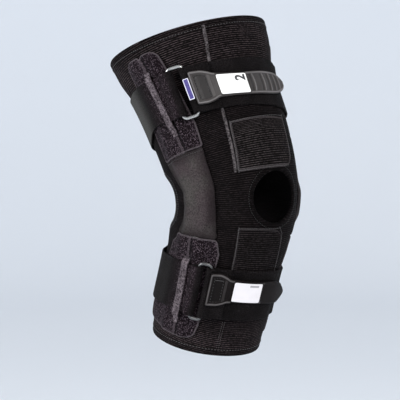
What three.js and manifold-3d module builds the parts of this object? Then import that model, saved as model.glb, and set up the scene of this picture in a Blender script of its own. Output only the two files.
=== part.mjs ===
// A short hinged knee brace for a right leg, shown bent as it is worn.
// Millimetres, +Z up, -Y to the wearer's front, -X to the outer side of the leg.
// The origin is the middle of the knee, inside the sleeve.
import * as THREE from "three";
import { mergeVertices } from "three/addons/utils/BufferGeometryUtils.js";
import Module from "manifold-3d";

const wasm = await Module();
wasm.setup();

// Sleeve: lengths run along the bent leg, up and down from the knee.
const THIGH_LENGTH = 178;
const CALF_LENGTH = 145;
const THIGH_WIDTH = 160;
const THIGH_DEPTH = 165;
const KNEE_WIDTH = 125;
const KNEE_DEPTH = 132;
const CALF_WIDTH = 112;
const CALF_DEPTH = 115;
const THIGH_LEAN = 22;
const CALF_LEAN = 17;
const BEND_LENGTH = 110;
const KNIT = 3;

// The rims dip and rise round the leg.
const TOP_DIP = 3.5;
const TOP_FRONT_DIP = 5;
const BOTTOM_RISE = 5.5;

// Openings in the sleeve, in degrees round the leg and millimetres along it.
const KNEECAP = { at: 7.8, height: 7.1, halfAngle: 26.5, halfHeight: 19.4 };
const KNEE_HOLLOW = { at: 180, height: 11, halfAngle: 65, halfHeight: 43 };

// Layers: cloth thickness, and the gap left where one layer lies on another.
const LAYER_GAP = 0.45;
const FLAP = 1.4;
const TAPE = 0.5;
const POCKET_CLOTH = 1.4;
const COVER_CLOTH = 1.6;
const STRAP = 1.8;
const KEEPER = 0.8;

// Hinge bars: one flat bar each side, with a thicker round joint at the knee.
const BAR_THICKNESS = 2.5;
const BAR_HALF_WIDTH = 7.5;
const BAR_HEAD_THICKNESS = 4.5;
const BAR_HEAD_HALF_WIDTH = 9.5;
const BAR_REACH = 0.84;
const BAR_STEP = 15;
const POCKET_CREST = 9;
const POCKET_SLOPE = 10;
const COVER_CREST = 7.5;
const COVER_SLOPE = 8;
const MEDIAL_SUM = 378;

// Straps, their wire rings and the moulded pull tabs.
const WIRE = 1.7;
const WIRE_GAP = 0.8;
const RING_CORNER = 4;
const TAB = 2.5;
const TAB_WIDTH = 33;
const FIELD = 0.5;
const FIELD_HEIGHT = 20.5;
const LABEL = 0.5;

const rad = THREE.MathUtils.degToRad;
const mix = THREE.MathUtils.lerp;

// Tables give heights along the leg as shares: of the thigh's length above the
// knee, and of the calf's length below it.
const heightAt = (share) => share * (share > 0 ? THIGH_LENGTH : CALF_LENGTH);

// Leg form: each row gives a place along the leg and four half sizes, as shares
// of the named lengths, widths and depths of its part of the leg.
const LIMB = {
  thigh: { length: THIGH_LENGTH, width: THIGH_WIDTH, depth: THIGH_DEPTH },
  knee: { length: THIGH_LENGTH, width: KNEE_WIDTH, depth: KNEE_DEPTH },
  calf: { length: -CALF_LENGTH, width: CALF_WIDTH, depth: CALF_DEPTH },
};
const LEG_ROWS = [
  // part, along, outer, inner, front, back
  ["calf", 1.05, 0.485, 0.495, 0.48, 0.51],
  ["calf", 0.81, 0.525, 0.5, 0.49, 0.54],
  ["calf", 0.61, 0.52, 0.49, 0.495, 0.545],
  ["calf", 0.41, 0.525, 0.485, 0.495, 0.545],
  ["calf", 0.24, 0.535, 0.515, 0.53, 0.55],
  ["knee", -0.06, 0.47, 0.51, 0.52, 0.465],
  ["knee", 0.08, 0.475, 0.53, 0.55, 0.465],
  ["knee", 0.27, 0.5, 0.555, 0.565, 0.475],
  ["thigh", 0.45, 0.405, 0.45, 0.45, 0.4],
  ["thigh", 0.6, 0.425, 0.45, 0.445, 0.42],
  ["thigh", 0.75, 0.455, 0.47, 0.46, 0.45],
  ["thigh", 0.89, 0.49, 0.51, 0.487, 0.51],
  ["thigh", 1.03, 0.515, 0.52, 0.493, 0.545],
];
const SECTIONS = LEG_ROWS.map(([part, along, outer, inner, front, back]) => ({
  height: LIMB[part].length * along,
  outer: LIMB[part].width * outer,
  inner: LIMB[part].width * inner,
  front: LIMB[part].depth * front,
  back: LIMB[part].depth * back,
}));

// A smooth line through the rows of a table that never overshoots them.
function smoothRow(rows, at, key, value) {
  const last = rows.length - 1;
  const slope = (i) => (rows[i + 1][key] - rows[i][key]) / (rows[i + 1][at] - rows[i][at]);
  const tangent = (i) => {
    if (i === 0) return slope(0);
    if (i === last) return slope(last - 1);
    const a = slope(i - 1);
    const b = slope(i);
    return a * b <= 0 ? 0 : (2 * a * b) / (a + b);
  };
  let i = 0;
  while (i < last - 1 && value > rows[i + 1][at]) i++;
  const width = rows[i + 1][at] - rows[i][at];
  const t = (value - rows[i][at]) / width;
  const start = (1 + 2 * t) * (1 - t) ** 2 * rows[i][key] + t * (1 - t) ** 2 * width * tangent(i);
  return start + t * t * (3 - 2 * t) * rows[i + 1][key] + t * t * (t - 1) * width * tangent(i + 1);
}

// Straight lines between the rows of a table [place, value...].
function row(rows, value, column = 1) {
  const last = rows.length - 1;
  let i = 0;
  while (i < last - 1 && value > rows[i + 1][0]) i++;
  const t = THREE.MathUtils.clamp((value - rows[i][0]) / (rows[i + 1][0] - rows[i][0]), 0, 1);
  return mix(rows[i][column], rows[i + 1][column], t);
}

// The middle line of the leg: straight thigh and calf joined by an arc.
function middle(height) {
  const turn = rad(THIGH_LEAN + CALF_LEAN) / BEND_LENGTH;
  const knee = rad(THIGH_LEAN - CALF_LEAN) / 2;
  const along = THREE.MathUtils.clamp(height, -BEND_LENGTH / 2, BEND_LENGTH / 2);
  const lean = knee + turn * along;
  const rest = height - along;
  return {
    lean,
    y: (Math.cos(knee) - Math.cos(lean)) / turn + rest * Math.sin(lean),
    z: (Math.sin(lean) - Math.sin(knee)) / turn + rest * Math.cos(lean),
  };
}

// A point by its angle round the leg (0 front, 90 outer side, 180 back), its
// height along the leg and its distance out from the sleeve's outer face.
function onLeg(angle, height, out) {
  const size = (key) => smoothRow(SECTIONS, "height", key, height);
  const c = Math.cos(rad(angle));
  const s = Math.sin(rad(angle));
  const depth = size(c > 0 ? "front" : "back");
  const width = size(s > 0 ? "outer" : "inner");
  const norm = Math.hypot(c / depth, s / width);
  const forward = depth * c + (out * c) / depth / norm;
  const side = width * s + (out * s) / width / norm;
  const { lean, y, z } = middle(height);
  return new THREE.Vector3(-side, y - forward * Math.cos(lean), z + forward * Math.sin(lean));
}

// Degrees round the leg for a length in millimetres, at the hinge side.
function turnFor(length, height) {
  return THREE.MathUtils.radToDeg(length / smoothRow(SECTIONS, "height", "front", height));
}

// A closed geometry from points and triangles, turned so its faces point out.
function closedBody(points, triangles) {
  let volume = 0;
  for (const [a, b, c] of triangles) {
    volume += points[a].dot(new THREE.Vector3().crossVectors(points[b], points[c]));
  }
  const index = triangles.flatMap(([a, b, c]) => (volume > 0 ? [a, b, c] : [a, c, b]));
  const geometry = new THREE.BufferGeometry().setFromPoints(points);
  geometry.setIndex(index);
  return geometry;
}

// A layer of cloth: a grid of across by along cells with an inner and an outer
// face. place(u, v, face) gives its points; a ring of cloth closes on itself.
function layer(across, along, place, ring = false) {
  const columns = ring ? across : across + 1;
  const points = [];
  for (const face of [0, 1]) {
    for (let i = 0; i < columns; i++) {
      for (let j = 0; j <= along; j++) points.push(place(i / across, j / along, face));
    }
  }
  const at = (i, j, face) => (face * columns + (i % columns)) * (along + 1) + j;
  const triangles = [];
  const quad = (a, b, c, d) => triangles.push([a, b, c], [a, c, d]);
  for (let i = 0; i < across; i++) {
    for (let j = 0; j < along; j++) {
      quad(at(i, j, 1), at(i + 1, j, 1), at(i + 1, j + 1, 1), at(i, j + 1, 1));
      quad(at(i, j, 0), at(i, j + 1, 0), at(i + 1, j + 1, 0), at(i + 1, j, 0));
    }
    quad(at(i, 0, 0), at(i + 1, 0, 0), at(i + 1, 0, 1), at(i, 0, 1));
    quad(at(i, along, 0), at(i, along, 1), at(i + 1, along, 1), at(i + 1, along, 0));
  }
  for (let j = 0; j < along && !ring; j++) {
    quad(at(0, j, 0), at(0, j, 1), at(0, j + 1, 1), at(0, j + 1, 0));
    quad(at(across, j, 0), at(across, j + 1, 0), at(across, j + 1, 1), at(across, j, 1));
  }
  return closedBody(points, triangles);
}

function solidOf(geometry) {
  const merged = mergeVertices(geometry, 1e-4);
  const vertProperties = new Float32Array(merged.attributes.position.array);
  const triVerts = new Uint32Array(merged.index.array);
  return new wasm.Manifold(new wasm.Mesh({ numProp: 3, vertProperties, triVerts }));
}

function geometryOf(solid) {
  const mesh = solid.getMesh();
  const geometry = new THREE.BufferGeometry();
  geometry.setAttribute("position", new THREE.BufferAttribute(mesh.vertProperties, 3));
  geometry.setIndex(new THREE.BufferAttribute(mesh.triVerts, 1));
  return geometry;
}

const brace = new THREE.Group();
brace.name = "hinged_knee_brace";

function add(name, geometry, color, roughness, metalness = 0) {
  const faceted = geometry.toNonIndexed();
  faceted.computeVertexNormals();
  const material = new THREE.MeshStandardMaterial({ color, roughness, metalness });
  const mesh = new THREE.Mesh(faceted, material);
  mesh.name = name;
  brace.add(mesh);
}

const KNIT_BLACK = 0x1b1a1b;
const LOOP_BLACK = 0x2a2629;
const COVER_GREY = 0x3a3939;
const STRAP_BLACK = 0x171717;
const TAPE_GREY = 0x4d4a4d;
const TAB_GREY = 0x55524f;
const STEEL = 0xb4b4b2;
const FIELD_WHITE = 0xf2f1ef;
const LABEL_BLUE = 0x5a5790;

// Sleeve: a knitted tube with a round opening over the kneecap and a wide one
// in the hollow of the knee.
function rimHeights(angle) {
  const top = THIGH_LENGTH - TOP_DIP * Math.sin(rad(angle)) - TOP_FRONT_DIP * Math.cos(rad(angle));
  const bottom = -CALF_LENGTH + BOTTOM_RISE * Math.cos(rad(angle));
  return { top, bottom };
}

// A plug with the outline of an opening, thick enough to go through the knit.
function plug({ at, height, halfAngle, halfHeight }, power) {
  return solidOf(layer(10, 16, (u, v, face) => {
    const up = Math.sin((v - 0.5) * Math.PI * 0.98);
    const reach = (1 - Math.abs(up) ** power) ** (1 / power);
    const angle = at + halfAngle * reach * (2 * u - 1);
    return onLeg(angle, height + halfHeight * up, face ? 10 : -KNIT - 6);
  }));
}

const tube = layer(36, 19, (u, v, face) => {
  const { top, bottom } = rimHeights(360 * u);
  return onLeg(360 * u, mix(bottom, top, v), face ? 0 : -KNIT);
}, true);
const sleeve = solidOf(tube)
  .subtract(plug(KNEECAP, 2))
  .subtract(plug(KNEE_HOLLOW, 2.3));
add("sleeve", geometryOf(sleeve), KNIT_BLACK, 0.9);

// Cloth patch between two edges that a table gives, row by row up the leg.
function patch(rows, columns, steps, out, place = (angle) => angle) {
  const table = rows.map(([share, ...edges]) => [heightAt(share), ...edges]);
  const low = table[0][0];
  const high = table[table.length - 1][0];
  return layer(columns, steps, (u, v, face) => {
    const height = mix(low, high, v);
    const angle = mix(row(table, height, 1), row(table, height, 2), u);
    return onLeg(place(angle), height, out(angle, height, face));
  });
}
const flat = (inner, thickness) => (angle, height, face) => inner + (face ? thickness : 0);

// Front flaps: two squares of knit sewn on above and below the kneecap.
const UPPER_FLAP = [
  // height, outer edge, inner edge
  [0.154, 44, -8],
  [0.169, 44, -12.5],
  [0.197, 43.5, -14.5],
  [0.388, 40.5, -17],
];
const LOWER_FLAP = [
  [-0.414, 41, -12],
  [-0.207, 43, -7],
  [-0.131, 44.5, -3],
  [-0.097, 45, 2],
];
add("front_flap_upper", patch(UPPER_FLAP, 9, 6, flat(LAYER_GAP, FLAP)), KNIT_BLACK, 0.9);
add("front_flap_lower", patch(LOWER_FLAP, 9, 6, flat(LAYER_GAP, FLAP)), KNIT_BLACK, 0.9);

// Seam tape: a narrow grey tape from the top hem down beside the upper flap.
const SEAM = [
  // height, inner edge, outer edge
  [0.154, 44.6, 47.3],
  [0.449, 41, 43.8],
  [0.753, 38, 40.6],
  [0.949, 35, 37.6],
];
add("front_seam_tape", patch(SEAM, 1, 12, flat(LAYER_GAP, TAPE)), TAPE_GREY, 0.85);

// The hinges' arms are straight, so their joints sit forward of the line that
// follows the bent leg.
const HINGE_LINE = [
  // height, angle
  [-0.5, 88],
  [-0.3, 88],
  [0.03, 80.5],
  [0.33, 88],
  [0.5, 88],
].map(([share, angle]) => [heightAt(share), angle]);
function hingeAt(height) {
  const ends = [HINGE_LINE[0][0], HINGE_LINE[HINGE_LINE.length - 1][0]];
  return smoothRow(HINGE_LINE, 0, 1, THREE.MathUtils.clamp(height, ...ends));
}

// Hinge bars: flat steel bars with a joint at the knee, sewn inside the pockets.
const BAR_ROWS = [
  // height, half width, thickness
  [heightAt(-BAR_REACH), BAR_HALF_WIDTH * 0.6, BAR_THICKNESS],
  [heightAt(-BAR_REACH) + BAR_HALF_WIDTH * 0.6, BAR_HALF_WIDTH, BAR_THICKNESS],
  [-BAR_HEAD_HALF_WIDTH * 1.4, BAR_HALF_WIDTH, BAR_THICKNESS],
  [-BAR_HEAD_HALF_WIDTH * 0.7, BAR_HEAD_HALF_WIDTH, BAR_HEAD_THICKNESS],
  [BAR_HEAD_HALF_WIDTH * 0.7, BAR_HEAD_HALF_WIDTH, BAR_HEAD_THICKNESS],
  [BAR_HEAD_HALF_WIDTH * 1.4, BAR_HALF_WIDTH, BAR_THICKNESS],
  [heightAt(BAR_REACH) - BAR_HALF_WIDTH * 0.6, BAR_HALF_WIDTH, BAR_THICKNESS],
  [heightAt(BAR_REACH), BAR_HALF_WIDTH * 0.6, BAR_THICKNESS],
];
function hingeBar(place) {
  const heights = BAR_ROWS.flatMap(([height], i) => {
    const next = BAR_ROWS[i + 1];
    const steps = next ? Math.ceil((next[0] - height) / BAR_STEP) : 1;
    return Array.from({ length: steps }, (_, k) => (next ? mix(height, next[0], k / steps) : height));
  });
  return layer(3, heights.length - 1, (u, v, face) => {
    const height = heights[Math.round(v * (heights.length - 1))];
    const half = turnFor(row(BAR_ROWS, height, 1), height);
    const angle = hingeAt(height) + mix(-half, half, u);
    return onLeg(place(angle), height, LAYER_GAP + (face ? row(BAR_ROWS, height, 2) : 0));
  });
}

// Hinge pockets and covers: cloth that lies on the sleeve at its edges and
// rises over the bar.
const { smoothstep } = THREE.MathUtils;
const onHead = (height) => {
  return 1 - smoothstep(Math.abs(height) / BAR_HEAD_HALF_WIDTH, 0.85, 2.15);
};
function overBar(cloth, crest, slope, head = false) {
  return (angle, height, face) => {
    const share = head ? onHead(height) : 0;
    const reach = crest + turnFor(share * (BAR_HEAD_HALF_WIDTH - BAR_HALF_WIDTH), height);
    const lift = 1 - smoothstep(Math.abs(angle - hingeAt(height)), reach, reach + slope);
    const thickness = mix(BAR_THICKNESS, BAR_HEAD_THICKNESS, share);
    return LAYER_GAP + lift * (thickness + LAYER_GAP) + (face ? cloth : 0);
  };
}
const POCKET_UPPER = [
  // height, front edge, back edge
  [0.306, 66.5, 109.5],
  [0.438, 66, 111],
  [0.618, 69, 110],
  [0.787, 72, 107],
  [0.86, 73.5, 105],
  [0.888, 76, 103],
  [0.902, 80, 99],
];
const POCKET_LOWER = [
  [-0.9, 76, 136],
  [-0.886, 67, 139],
  [-0.85, 62.5, 139],
  [-0.78, 60.5, 136],
  [-0.69, 60, 129],
  [-0.386, 57, 117],
  [-0.262, 56, 112],
  [-0.217, 58.5, 106],
  [-0.179, 60.5, 106.5],
];
const COVER = [
  [-0.1755, 60.5, 106],
  [-0.13, 63.5, 102],
  [-0.06, 65, 98],
  [0.03, 65.4, 95],
  [0.104, 65.5, 96.5],
  [0.17, 66.6, 102],
  [0.235, 67.6, 106],
  [0.3025, 67.2, 108.5],
];
const SIDES = [
  { side: "lateral", place: (angle) => angle },
  { side: "medial", place: (angle) => MEDIAL_SUM - angle },
];
for (const { side, place } of SIDES) {
  const loop = overBar(POCKET_CLOTH, POCKET_CREST, POCKET_SLOPE);
  const dome = overBar(COVER_CLOTH, COVER_CREST, COVER_SLOPE, true);
  add(side + "_hinge_bar", hingeBar(place), STEEL, 0.4, 0.8);
  add(side + "_pocket_upper", patch(POCKET_UPPER, 10, 9, loop, place), LOOP_BLACK, 0.95);
  add(side + "_pocket_lower", patch(POCKET_LOWER, 11, 10, loop, place), LOOP_BLACK, 0.95);
  add(side + "_hinge_cover", patch(COVER, 10, 12, dome, place), COVER_GREY, 0.7);
}

// Straps: elastic webbing. Each starts as a loop sewn round the back bar of its
// ring, goes over the pocket, round the back, over the inner pocket and the
// front, then turns round the ring's front bar and folds back under the tab.
// Rises are shares of the height of a pocket's crest off the sleeve.
const POCKET_RISE = 2 * LAYER_GAP + BAR_THICKNESS + POCKET_CLOTH + LAYER_GAP;
const LOOP_RADIUS = WIRE + WIRE_GAP + STRAP / 2;
const LOOP_SLOPE = 3.5;
const STRAP_STEP = 10.5;
const ON_SLEEVE = 0.17;
const UPPER_STRAP = {
  edges: [
    // angle, lower edge, upper edge
    [0, 0.446, 0.731],
    [40, 0.472, 0.742],
    [61, 0.483, 0.746],
    [75, 0.487, 0.75],
    [100, 0.506, 0.758],
    [125, 0.466, 0.756],
    [140, 0.455, 0.756],
    [200, 0.455, 0.753],
    [320, 0.43, 0.727],
    [360, 0.446, 0.731],
  ],
  radius: THIGH_WIDTH * 0.45,
  ringFront: 60,
  ringBack: 71,
  stitchedEnd: 77.5,
  backRise: 0.84,
  frontRise: ON_SLEEVE,
  over: [
    // angle, rise
    [77.5, 1.5],
    [79.5, 1.19],
    [82, 1],
    [90, 1],
    [97, 1],
    [101, 0.88],
    [105, 0.7],
    [110, 0.6],
    [115, 0.45],
    [121, 0.28],
    [128, ON_SLEEVE],
    [255, ON_SLEEVE],
    [261, 0.27],
    [268, 0.51],
    [274, 0.74],
    [278, 0.93],
    [281, 1],
    [290, 1],
    [299, 1],
    [303, 0.91],
    [308, 0.67],
    [314, 0.48],
    [322, ON_SLEEVE],
    [388, ON_SLEEVE],
    [395, 0.23],
    [406, 0.23],
    [413, ON_SLEEVE],
  ],
  returnRise: [
    [-57, 1.07],
    [-54, 0.76],
    [-51, 0.61],
    [-42, 0.61],
  ],
};
const LOWER_STRAP = {
  edges: [
    [0, -0.683, -0.328],
    [45, -0.69, -0.333],
    [56, -0.702, -0.338],
    [73, -0.703, -0.341],
    [80, -0.705, -0.36],
    [94, -0.717, -0.366],
    [139, -0.772, -0.421],
    [180, -0.779, -0.428],
    [225, -0.772, -0.421],
    [325, -0.7, -0.352],
    [360, -0.683, -0.328],
  ],
  radius: CALF_WIDTH * 0.535,
  ringFront: 59.5,
  ringBack: 70,
  stitchedEnd: 75.5,
  backRise: 0.84,
  frontRise: 0.46,
  over: [
    [75.5, 1.5],
    [77.5, 1.19],
    [79.5, 1],
    [90, 1],
    [98, 1],
    [102, 0.88],
    [107, 0.65],
    [114, 0.44],
    [122, 0.46],
    [140, 0.46],
    [149, ON_SLEEVE],
    [229, ON_SLEEVE],
    [237, 0.46],
    [255, 0.46],
    [264, 0.46],
    [272, 0.65],
    [278, 0.88],
    [281, 1],
    [290, 1],
    [299, 1],
    [303, 0.88],
    [308, 0.61],
    [314, 0.46],
    [322, 0.46],
    [330, ON_SLEEVE],
    [339, ON_SLEEVE],
    [345, 0.46],
    [413, 0.46],
  ],
  returnRise: [
    [-56, 1.31],
    [-53, 1.03],
    [-50, 0.95],
    [-42, 0.95],
  ],
};
const strapEdges = (strap, angle) => [1, 2].map((i) => heightAt(row(strap.edges, angle % 360, i)));

// The middle line of a strap in its own flat plane: along the leg's girth, out.
function strapLine(strap) {
  const girth = (angle) => rad(angle) * strap.radius;
  const middleRise = (rise) => rise * POCKET_RISE + STRAP / 2;
  const turn = (angle, rise, from, to) => Array.from({ length: 7 }, (_, k) => {
    const t = rad(mix(from, to, k / 6));
    const centre = middleRise(rise) + LOOP_RADIUS;
    return [girth(angle) + LOOP_RADIUS * Math.cos(t), centre + LOOP_RADIUS * Math.sin(t)];
  });
  const beside = strap.ringBack + LOOP_SLOPE;
  const line = [
    [girth(strap.stitchedEnd), middleRise(1)],
    [girth(beside), middleRise(strap.backRise) + STRAP * 0.28],
    ...turn(strap.ringBack, strap.backRise, 270, 90),
    [girth(beside), middleRise(strap.backRise) + 2 * LOOP_RADIUS - STRAP / 2],
  ];
  strap.over.forEach(([angle, rise], i) => {
    const before = strap.over[i - 1];
    const steps = before ? Math.ceil((angle - before[0]) / STRAP_STEP) : 1;
    for (let k = 1; k <= steps; k++) {
      const t = k / steps;
      const place = before ? [mix(before[0], angle, t), mix(before[1], rise, t)] : [angle, rise];
      line.push([girth(place[0]), middleRise(place[1])]);
    }
  });
  line.push(...turn(strap.ringFront + 360, strap.frontRise, -90, 90));
  for (const [angle, rise] of strap.returnRise) line.push([girth(360 - angle), middleRise(rise)]);
  return line;
}

function strapBody(strap) {
  const line = strapLine(strap);
  const last = line.length - 1;
  return layer(last, 2, (u, v, face) => {
    const i = Math.round(u * last);
    const [before, after] = [line[Math.max(i - 1, 0)], line[Math.min(i + 1, last)]];
    const length = Math.hypot(after[0] - before[0], after[1] - before[1]);
    const shift = (face ? 0.5 : -0.5) * STRAP / length;
    const along = line[i][0] + shift * (after[1] - before[1]);
    const out = line[i][1] - shift * (after[0] - before[0]);
    const angle = THREE.MathUtils.radToDeg(along / strap.radius);
    return onLeg(angle, mix(...strapEdges(strap, angle), v), out);
  });
}
add("strap_upper", strapBody(UPPER_STRAP), STRAP_BLACK, 0.8);
add("strap_lower", strapBody(LOWER_STRAP), STRAP_BLACK, 0.8);

// Keepers: tapes sewn down over each strap along the middle of the outer pocket.
const KEEPER_UPPER = [
  // height, front edge, back edge, over the strap
  [0.405, 81.5, 86, 0],
  [0.44, 81.5, 86.2, 0],
  [0.466, 81.5, 86.8, 1],
  [0.758, 84.5, 90.5, 1],
  [0.781, 85, 90.5, 0],
  [0.8, 85, 90, 0],
];
const KEEPER_LOWER = [
  [-0.807, 81, 86, 0],
  [-0.766, 80.5, 87, 0],
  [-0.741, 80, 88, 1],
  [-0.357, 81.5, 89, 1],
  [-0.336, 81.5, 89.5, 0],
  [-0.315, 82, 89, 0],
];
function keeper(rows) {
  const table = rows.map(([share, ...edges]) => [heightAt(share), ...edges]);
  const heights = table.map(([height]) => height);
  heights.splice(3, 0, ...[1, 2, 3, 4, 5].map((k) => mix(heights[2], heights[3], k / 6)));
  return layer(2, heights.length - 1, (u, v, face) => {
    const height = heights[Math.round(v * (heights.length - 1))];
    const angle = mix(row(table, height, 1), row(table, height, 2), u);
    const rise = POCKET_RISE + row(table, height, 3) * (STRAP + 2 * LAYER_GAP);
    return onLeg(angle, height, rise + (face ? KEEPER : 0));
  });
}
add("strap_keeper_upper", keeper(KEEPER_UPPER), TAPE_GREY, 0.9);
add("strap_keeper_lower", keeper(KEEPER_LOWER), TAPE_GREY, 0.9);

// Rings: bent steel wire, a long loop with round corners.
function ring(strap) {
  const centre = (strap.ringFront + strap.ringBack) / 2;
  const [low, high] = strapEdges(strap, centre);
  const halfHeight = (high - low) / 2 + WIRE_GAP + WIRE;
  const halfWidth = (rad(strap.ringBack - strap.ringFront) * strap.radius) / 2;
  const points = [];
  for (const [sx, sy, from] of [[1, 1, 0], [-1, 1, 90], [-1, -1, 180], [1, -1, 270]]) {
    for (let k = 0; k <= 3; k++) {
      const t = rad(from + k * 30);
      const x = sx * (halfWidth - RING_CORNER) + RING_CORNER * Math.cos(t);
      const y = sy * (halfHeight - RING_CORNER) + RING_CORNER * Math.sin(t);
      points.push([x, y]);
    }
    if (sy * sx < 0) points.push([sx * halfWidth, 0]);
  }
  const rises = [strap.frontRise, strap.backRise].map((rise) => {
    return rise * POCKET_RISE + STRAP + WIRE_GAP + WIRE;
  });
  const path = points.map(([x, y]) => {
    const angle = centre + THREE.MathUtils.radToDeg(x / strap.radius);
    const share = (x + halfWidth) / (2 * halfWidth);
    return onLeg(angle, (low + high) / 2 + y, mix(rises[0], rises[1], share));
  });
  const curve = new THREE.CatmullRomCurve3(path, true, "centripetal");
  const wire = new THREE.TubeGeometry(curve, 36, WIRE, 6, true);
  wire.deleteAttribute("normal");
  wire.deleteAttribute("uv");
  return geometryOf(solidOf(wire));
}
add("ring_upper", ring(UPPER_STRAP), STEEL, 0.3, 1);
add("ring_lower", ring(LOWER_STRAP), STEEL, 0.3, 1);

// Pull tabs: moulded plastic, wide where the strap's end is sewn on, with a
// white number field and a round finger end that stands off the strap.
const TAB_EDGE = [
  // share of length, share of width
  [0, 0.96],
  [0.02, 1],
  [0.08, 1],
  [0.14, 0.9],
  [0.2, 0.74],
  [0.48, 0.68],
  [0.72, 0.7],
  [0.84, 0.66],
  [0.92, 0.52],
  [0.97, 0.33],
  [1, 0.12],
];
const UPPER_TAB = {
  start: 57,
  end: -28.5,
  fieldFrom: 0.212,
  fieldTo: 0.505,
  heights: [
    // share of length, height
    [0, 0.613],
    [0.22, 0.597],
    [0.52, 0.5775],
    [1, 0.574],
  ],
  rises: [
    // share of length, rise
    [0, 1.63],
    [0.03, 1.38],
    [0.07, 1.15],
    [0.13, 1.08],
    [0.2, 0.97],
    [0.275, 0.65],
    [0.757, 0.61],
    [0.895, 0.88],
    [1, 1.33],
  ],
};
const LOWER_TAB = {
  start: 57.5,
  end: -31,
  fieldFrom: 0.235,
  fieldTo: 0.548,
  heights: [
    [0, -0.476],
    [0.23, -0.464],
    [0.57, -0.467],
    [1, -0.505],
  ],
  rises: [
    [0, 2.1],
    [0.03, 1.75],
    [0.07, 1.5],
    [0.125, 1.41],
    [0.2, 1.37],
    [0.27, 1.03],
    [0.645, 0.93],
    [0.83, 1.1],
    [1, 1.48],
  ],
};
const TAB_STATIONS = [
  ...TAB_EDGE.map(([share]) => share),
  0.04, 0.11, 0.17, 0.23, 0.27, 0.34, 0.41, 0.54, 0.6, 0.66, 0.78, 0.88,
].sort((a, b) => a - b);
function onTab(tab, share, across, out) {
  const height = heightAt(row(tab.heights, share)) + across;
  return onLeg(mix(tab.start, tab.end, share), height, row(tab.rises, share) * POCKET_RISE + out);
}
function tabBody(tab) {
  return layer(TAB_STATIONS.length - 1, 4, (u, v, face) => {
    const share = TAB_STATIONS[Math.round(u * (TAB_STATIONS.length - 1))];
    const half = (TAB_WIDTH / 2) * row(TAB_EDGE, share);
    return onTab(tab, share, mix(-half, half, v), face ? TAB : 0);
  });
}
function numberField(tab) {
  return layer(8, 1, (u, v, face) => {
    const share = mix(tab.fieldFrom, tab.fieldTo, u);
    const out = TAB + LAYER_GAP + (face ? FIELD : 0);
    return onTab(tab, share, mix(-0.5, 0.5, v) * FIELD_HEIGHT, out);
  });
}
add("tab_upper", tabBody(UPPER_TAB), TAB_GREY, 0.5);
add("tab_lower", tabBody(LOWER_TAB), TAB_GREY, 0.5);
add("number_field_upper", numberField(UPPER_TAB), FIELD_WHITE, 0.6);
add("number_field_lower", numberField(LOWER_TAB), FIELD_WHITE, 0.6);

// Label: a small woven label sewn on the upper strap beside its tab.
const LABEL_PLACE = [
  // height, front edge, back edge
  [0.557, 58, 62],
  [0.678, 58, 62],
];
const labelRise = UPPER_STRAP.frontRise * POCKET_RISE + 2 * LOOP_RADIUS + STRAP + LAYER_GAP;
add("strap_label", patch(LABEL_PLACE, 2, 2, flat(labelRise, LABEL)), LABEL_BLUE, 0.8);

export default brace;
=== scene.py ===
import math

import bmesh
import bpy
import numpy as np
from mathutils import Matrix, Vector


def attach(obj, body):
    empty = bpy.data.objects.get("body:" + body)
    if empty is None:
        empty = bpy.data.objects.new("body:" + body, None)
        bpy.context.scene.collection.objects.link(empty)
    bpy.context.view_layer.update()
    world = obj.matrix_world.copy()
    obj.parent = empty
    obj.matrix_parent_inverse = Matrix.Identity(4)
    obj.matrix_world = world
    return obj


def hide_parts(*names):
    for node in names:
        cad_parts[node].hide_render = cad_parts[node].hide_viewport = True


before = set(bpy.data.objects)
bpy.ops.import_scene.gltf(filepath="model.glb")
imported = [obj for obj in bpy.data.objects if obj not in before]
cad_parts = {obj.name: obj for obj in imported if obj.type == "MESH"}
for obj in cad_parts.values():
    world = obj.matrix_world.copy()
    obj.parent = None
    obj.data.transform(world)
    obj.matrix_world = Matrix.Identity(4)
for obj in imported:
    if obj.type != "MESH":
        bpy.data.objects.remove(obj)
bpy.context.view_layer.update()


# Camera and studio: the brace stands free in the middle of a wide pale dish
# under soft lamps, and the camera looks at it from the outer front side.
AIM = Vector((0, 0, 0.010))
AZIMUTH = math.radians(-48)
ELEVATION = math.radians(4.5)
CAMERA_DISTANCE = 1.5
LENS = 131.07
SENSOR_WIDTH = 36
PICTURE_SHIFT = (-0.0755, -0.01)
to_camera = Vector((
    math.sin(AZIMUTH) * math.cos(ELEVATION),
    -math.cos(AZIMUTH) * math.cos(ELEVATION),
    math.sin(ELEVATION),
))


def add_object(name, data):
    made = bpy.data.objects.new(name, data)
    bpy.context.scene.collection.objects.link(made)
    return made


camera = add_object("camera", bpy.data.cameras.new("camera"))
camera.location = AIM + CAMERA_DISTANCE * to_camera
camera.rotation_euler = (-to_camera).to_track_quat("-Z", "Y").to_euler()
camera.data.lens = LENS
camera.data.sensor_width = SENSOR_WIDTH
camera.data.shift_x, camera.data.shift_y = PICTURE_SHIFT
bpy.context.scene.camera = camera
bpy.context.scene.view_settings.view_transform = "Standard"


def give(tree, socket, value):
    """A value for an input socket, or a link where the value is a socket."""
    if isinstance(value, bpy.types.NodeSocket):
        tree.links.new(value, socket)
    else:
        socket.default_value = value


def put(tree, kind, inputs=(), **settings):
    """A node with its settings, and values or links on its inputs."""
    node = tree.nodes.new(kind)
    for name, value in settings.items():
        setattr(node, name, value)
    for name, value in dict(inputs).items():
        give(tree, node.inputs[name], value)
    return node


def new_material(name):
    """A material with its node tree and the Principled shader in it."""
    material = bpy.data.materials.new(name)
    material.use_nodes = True
    return material, material.node_tree, material.node_tree.nodes["Principled BSDF"]


def place_on_object(tree):
    return put(tree, "ShaderNodeTexCoord").outputs["Object"]


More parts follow.
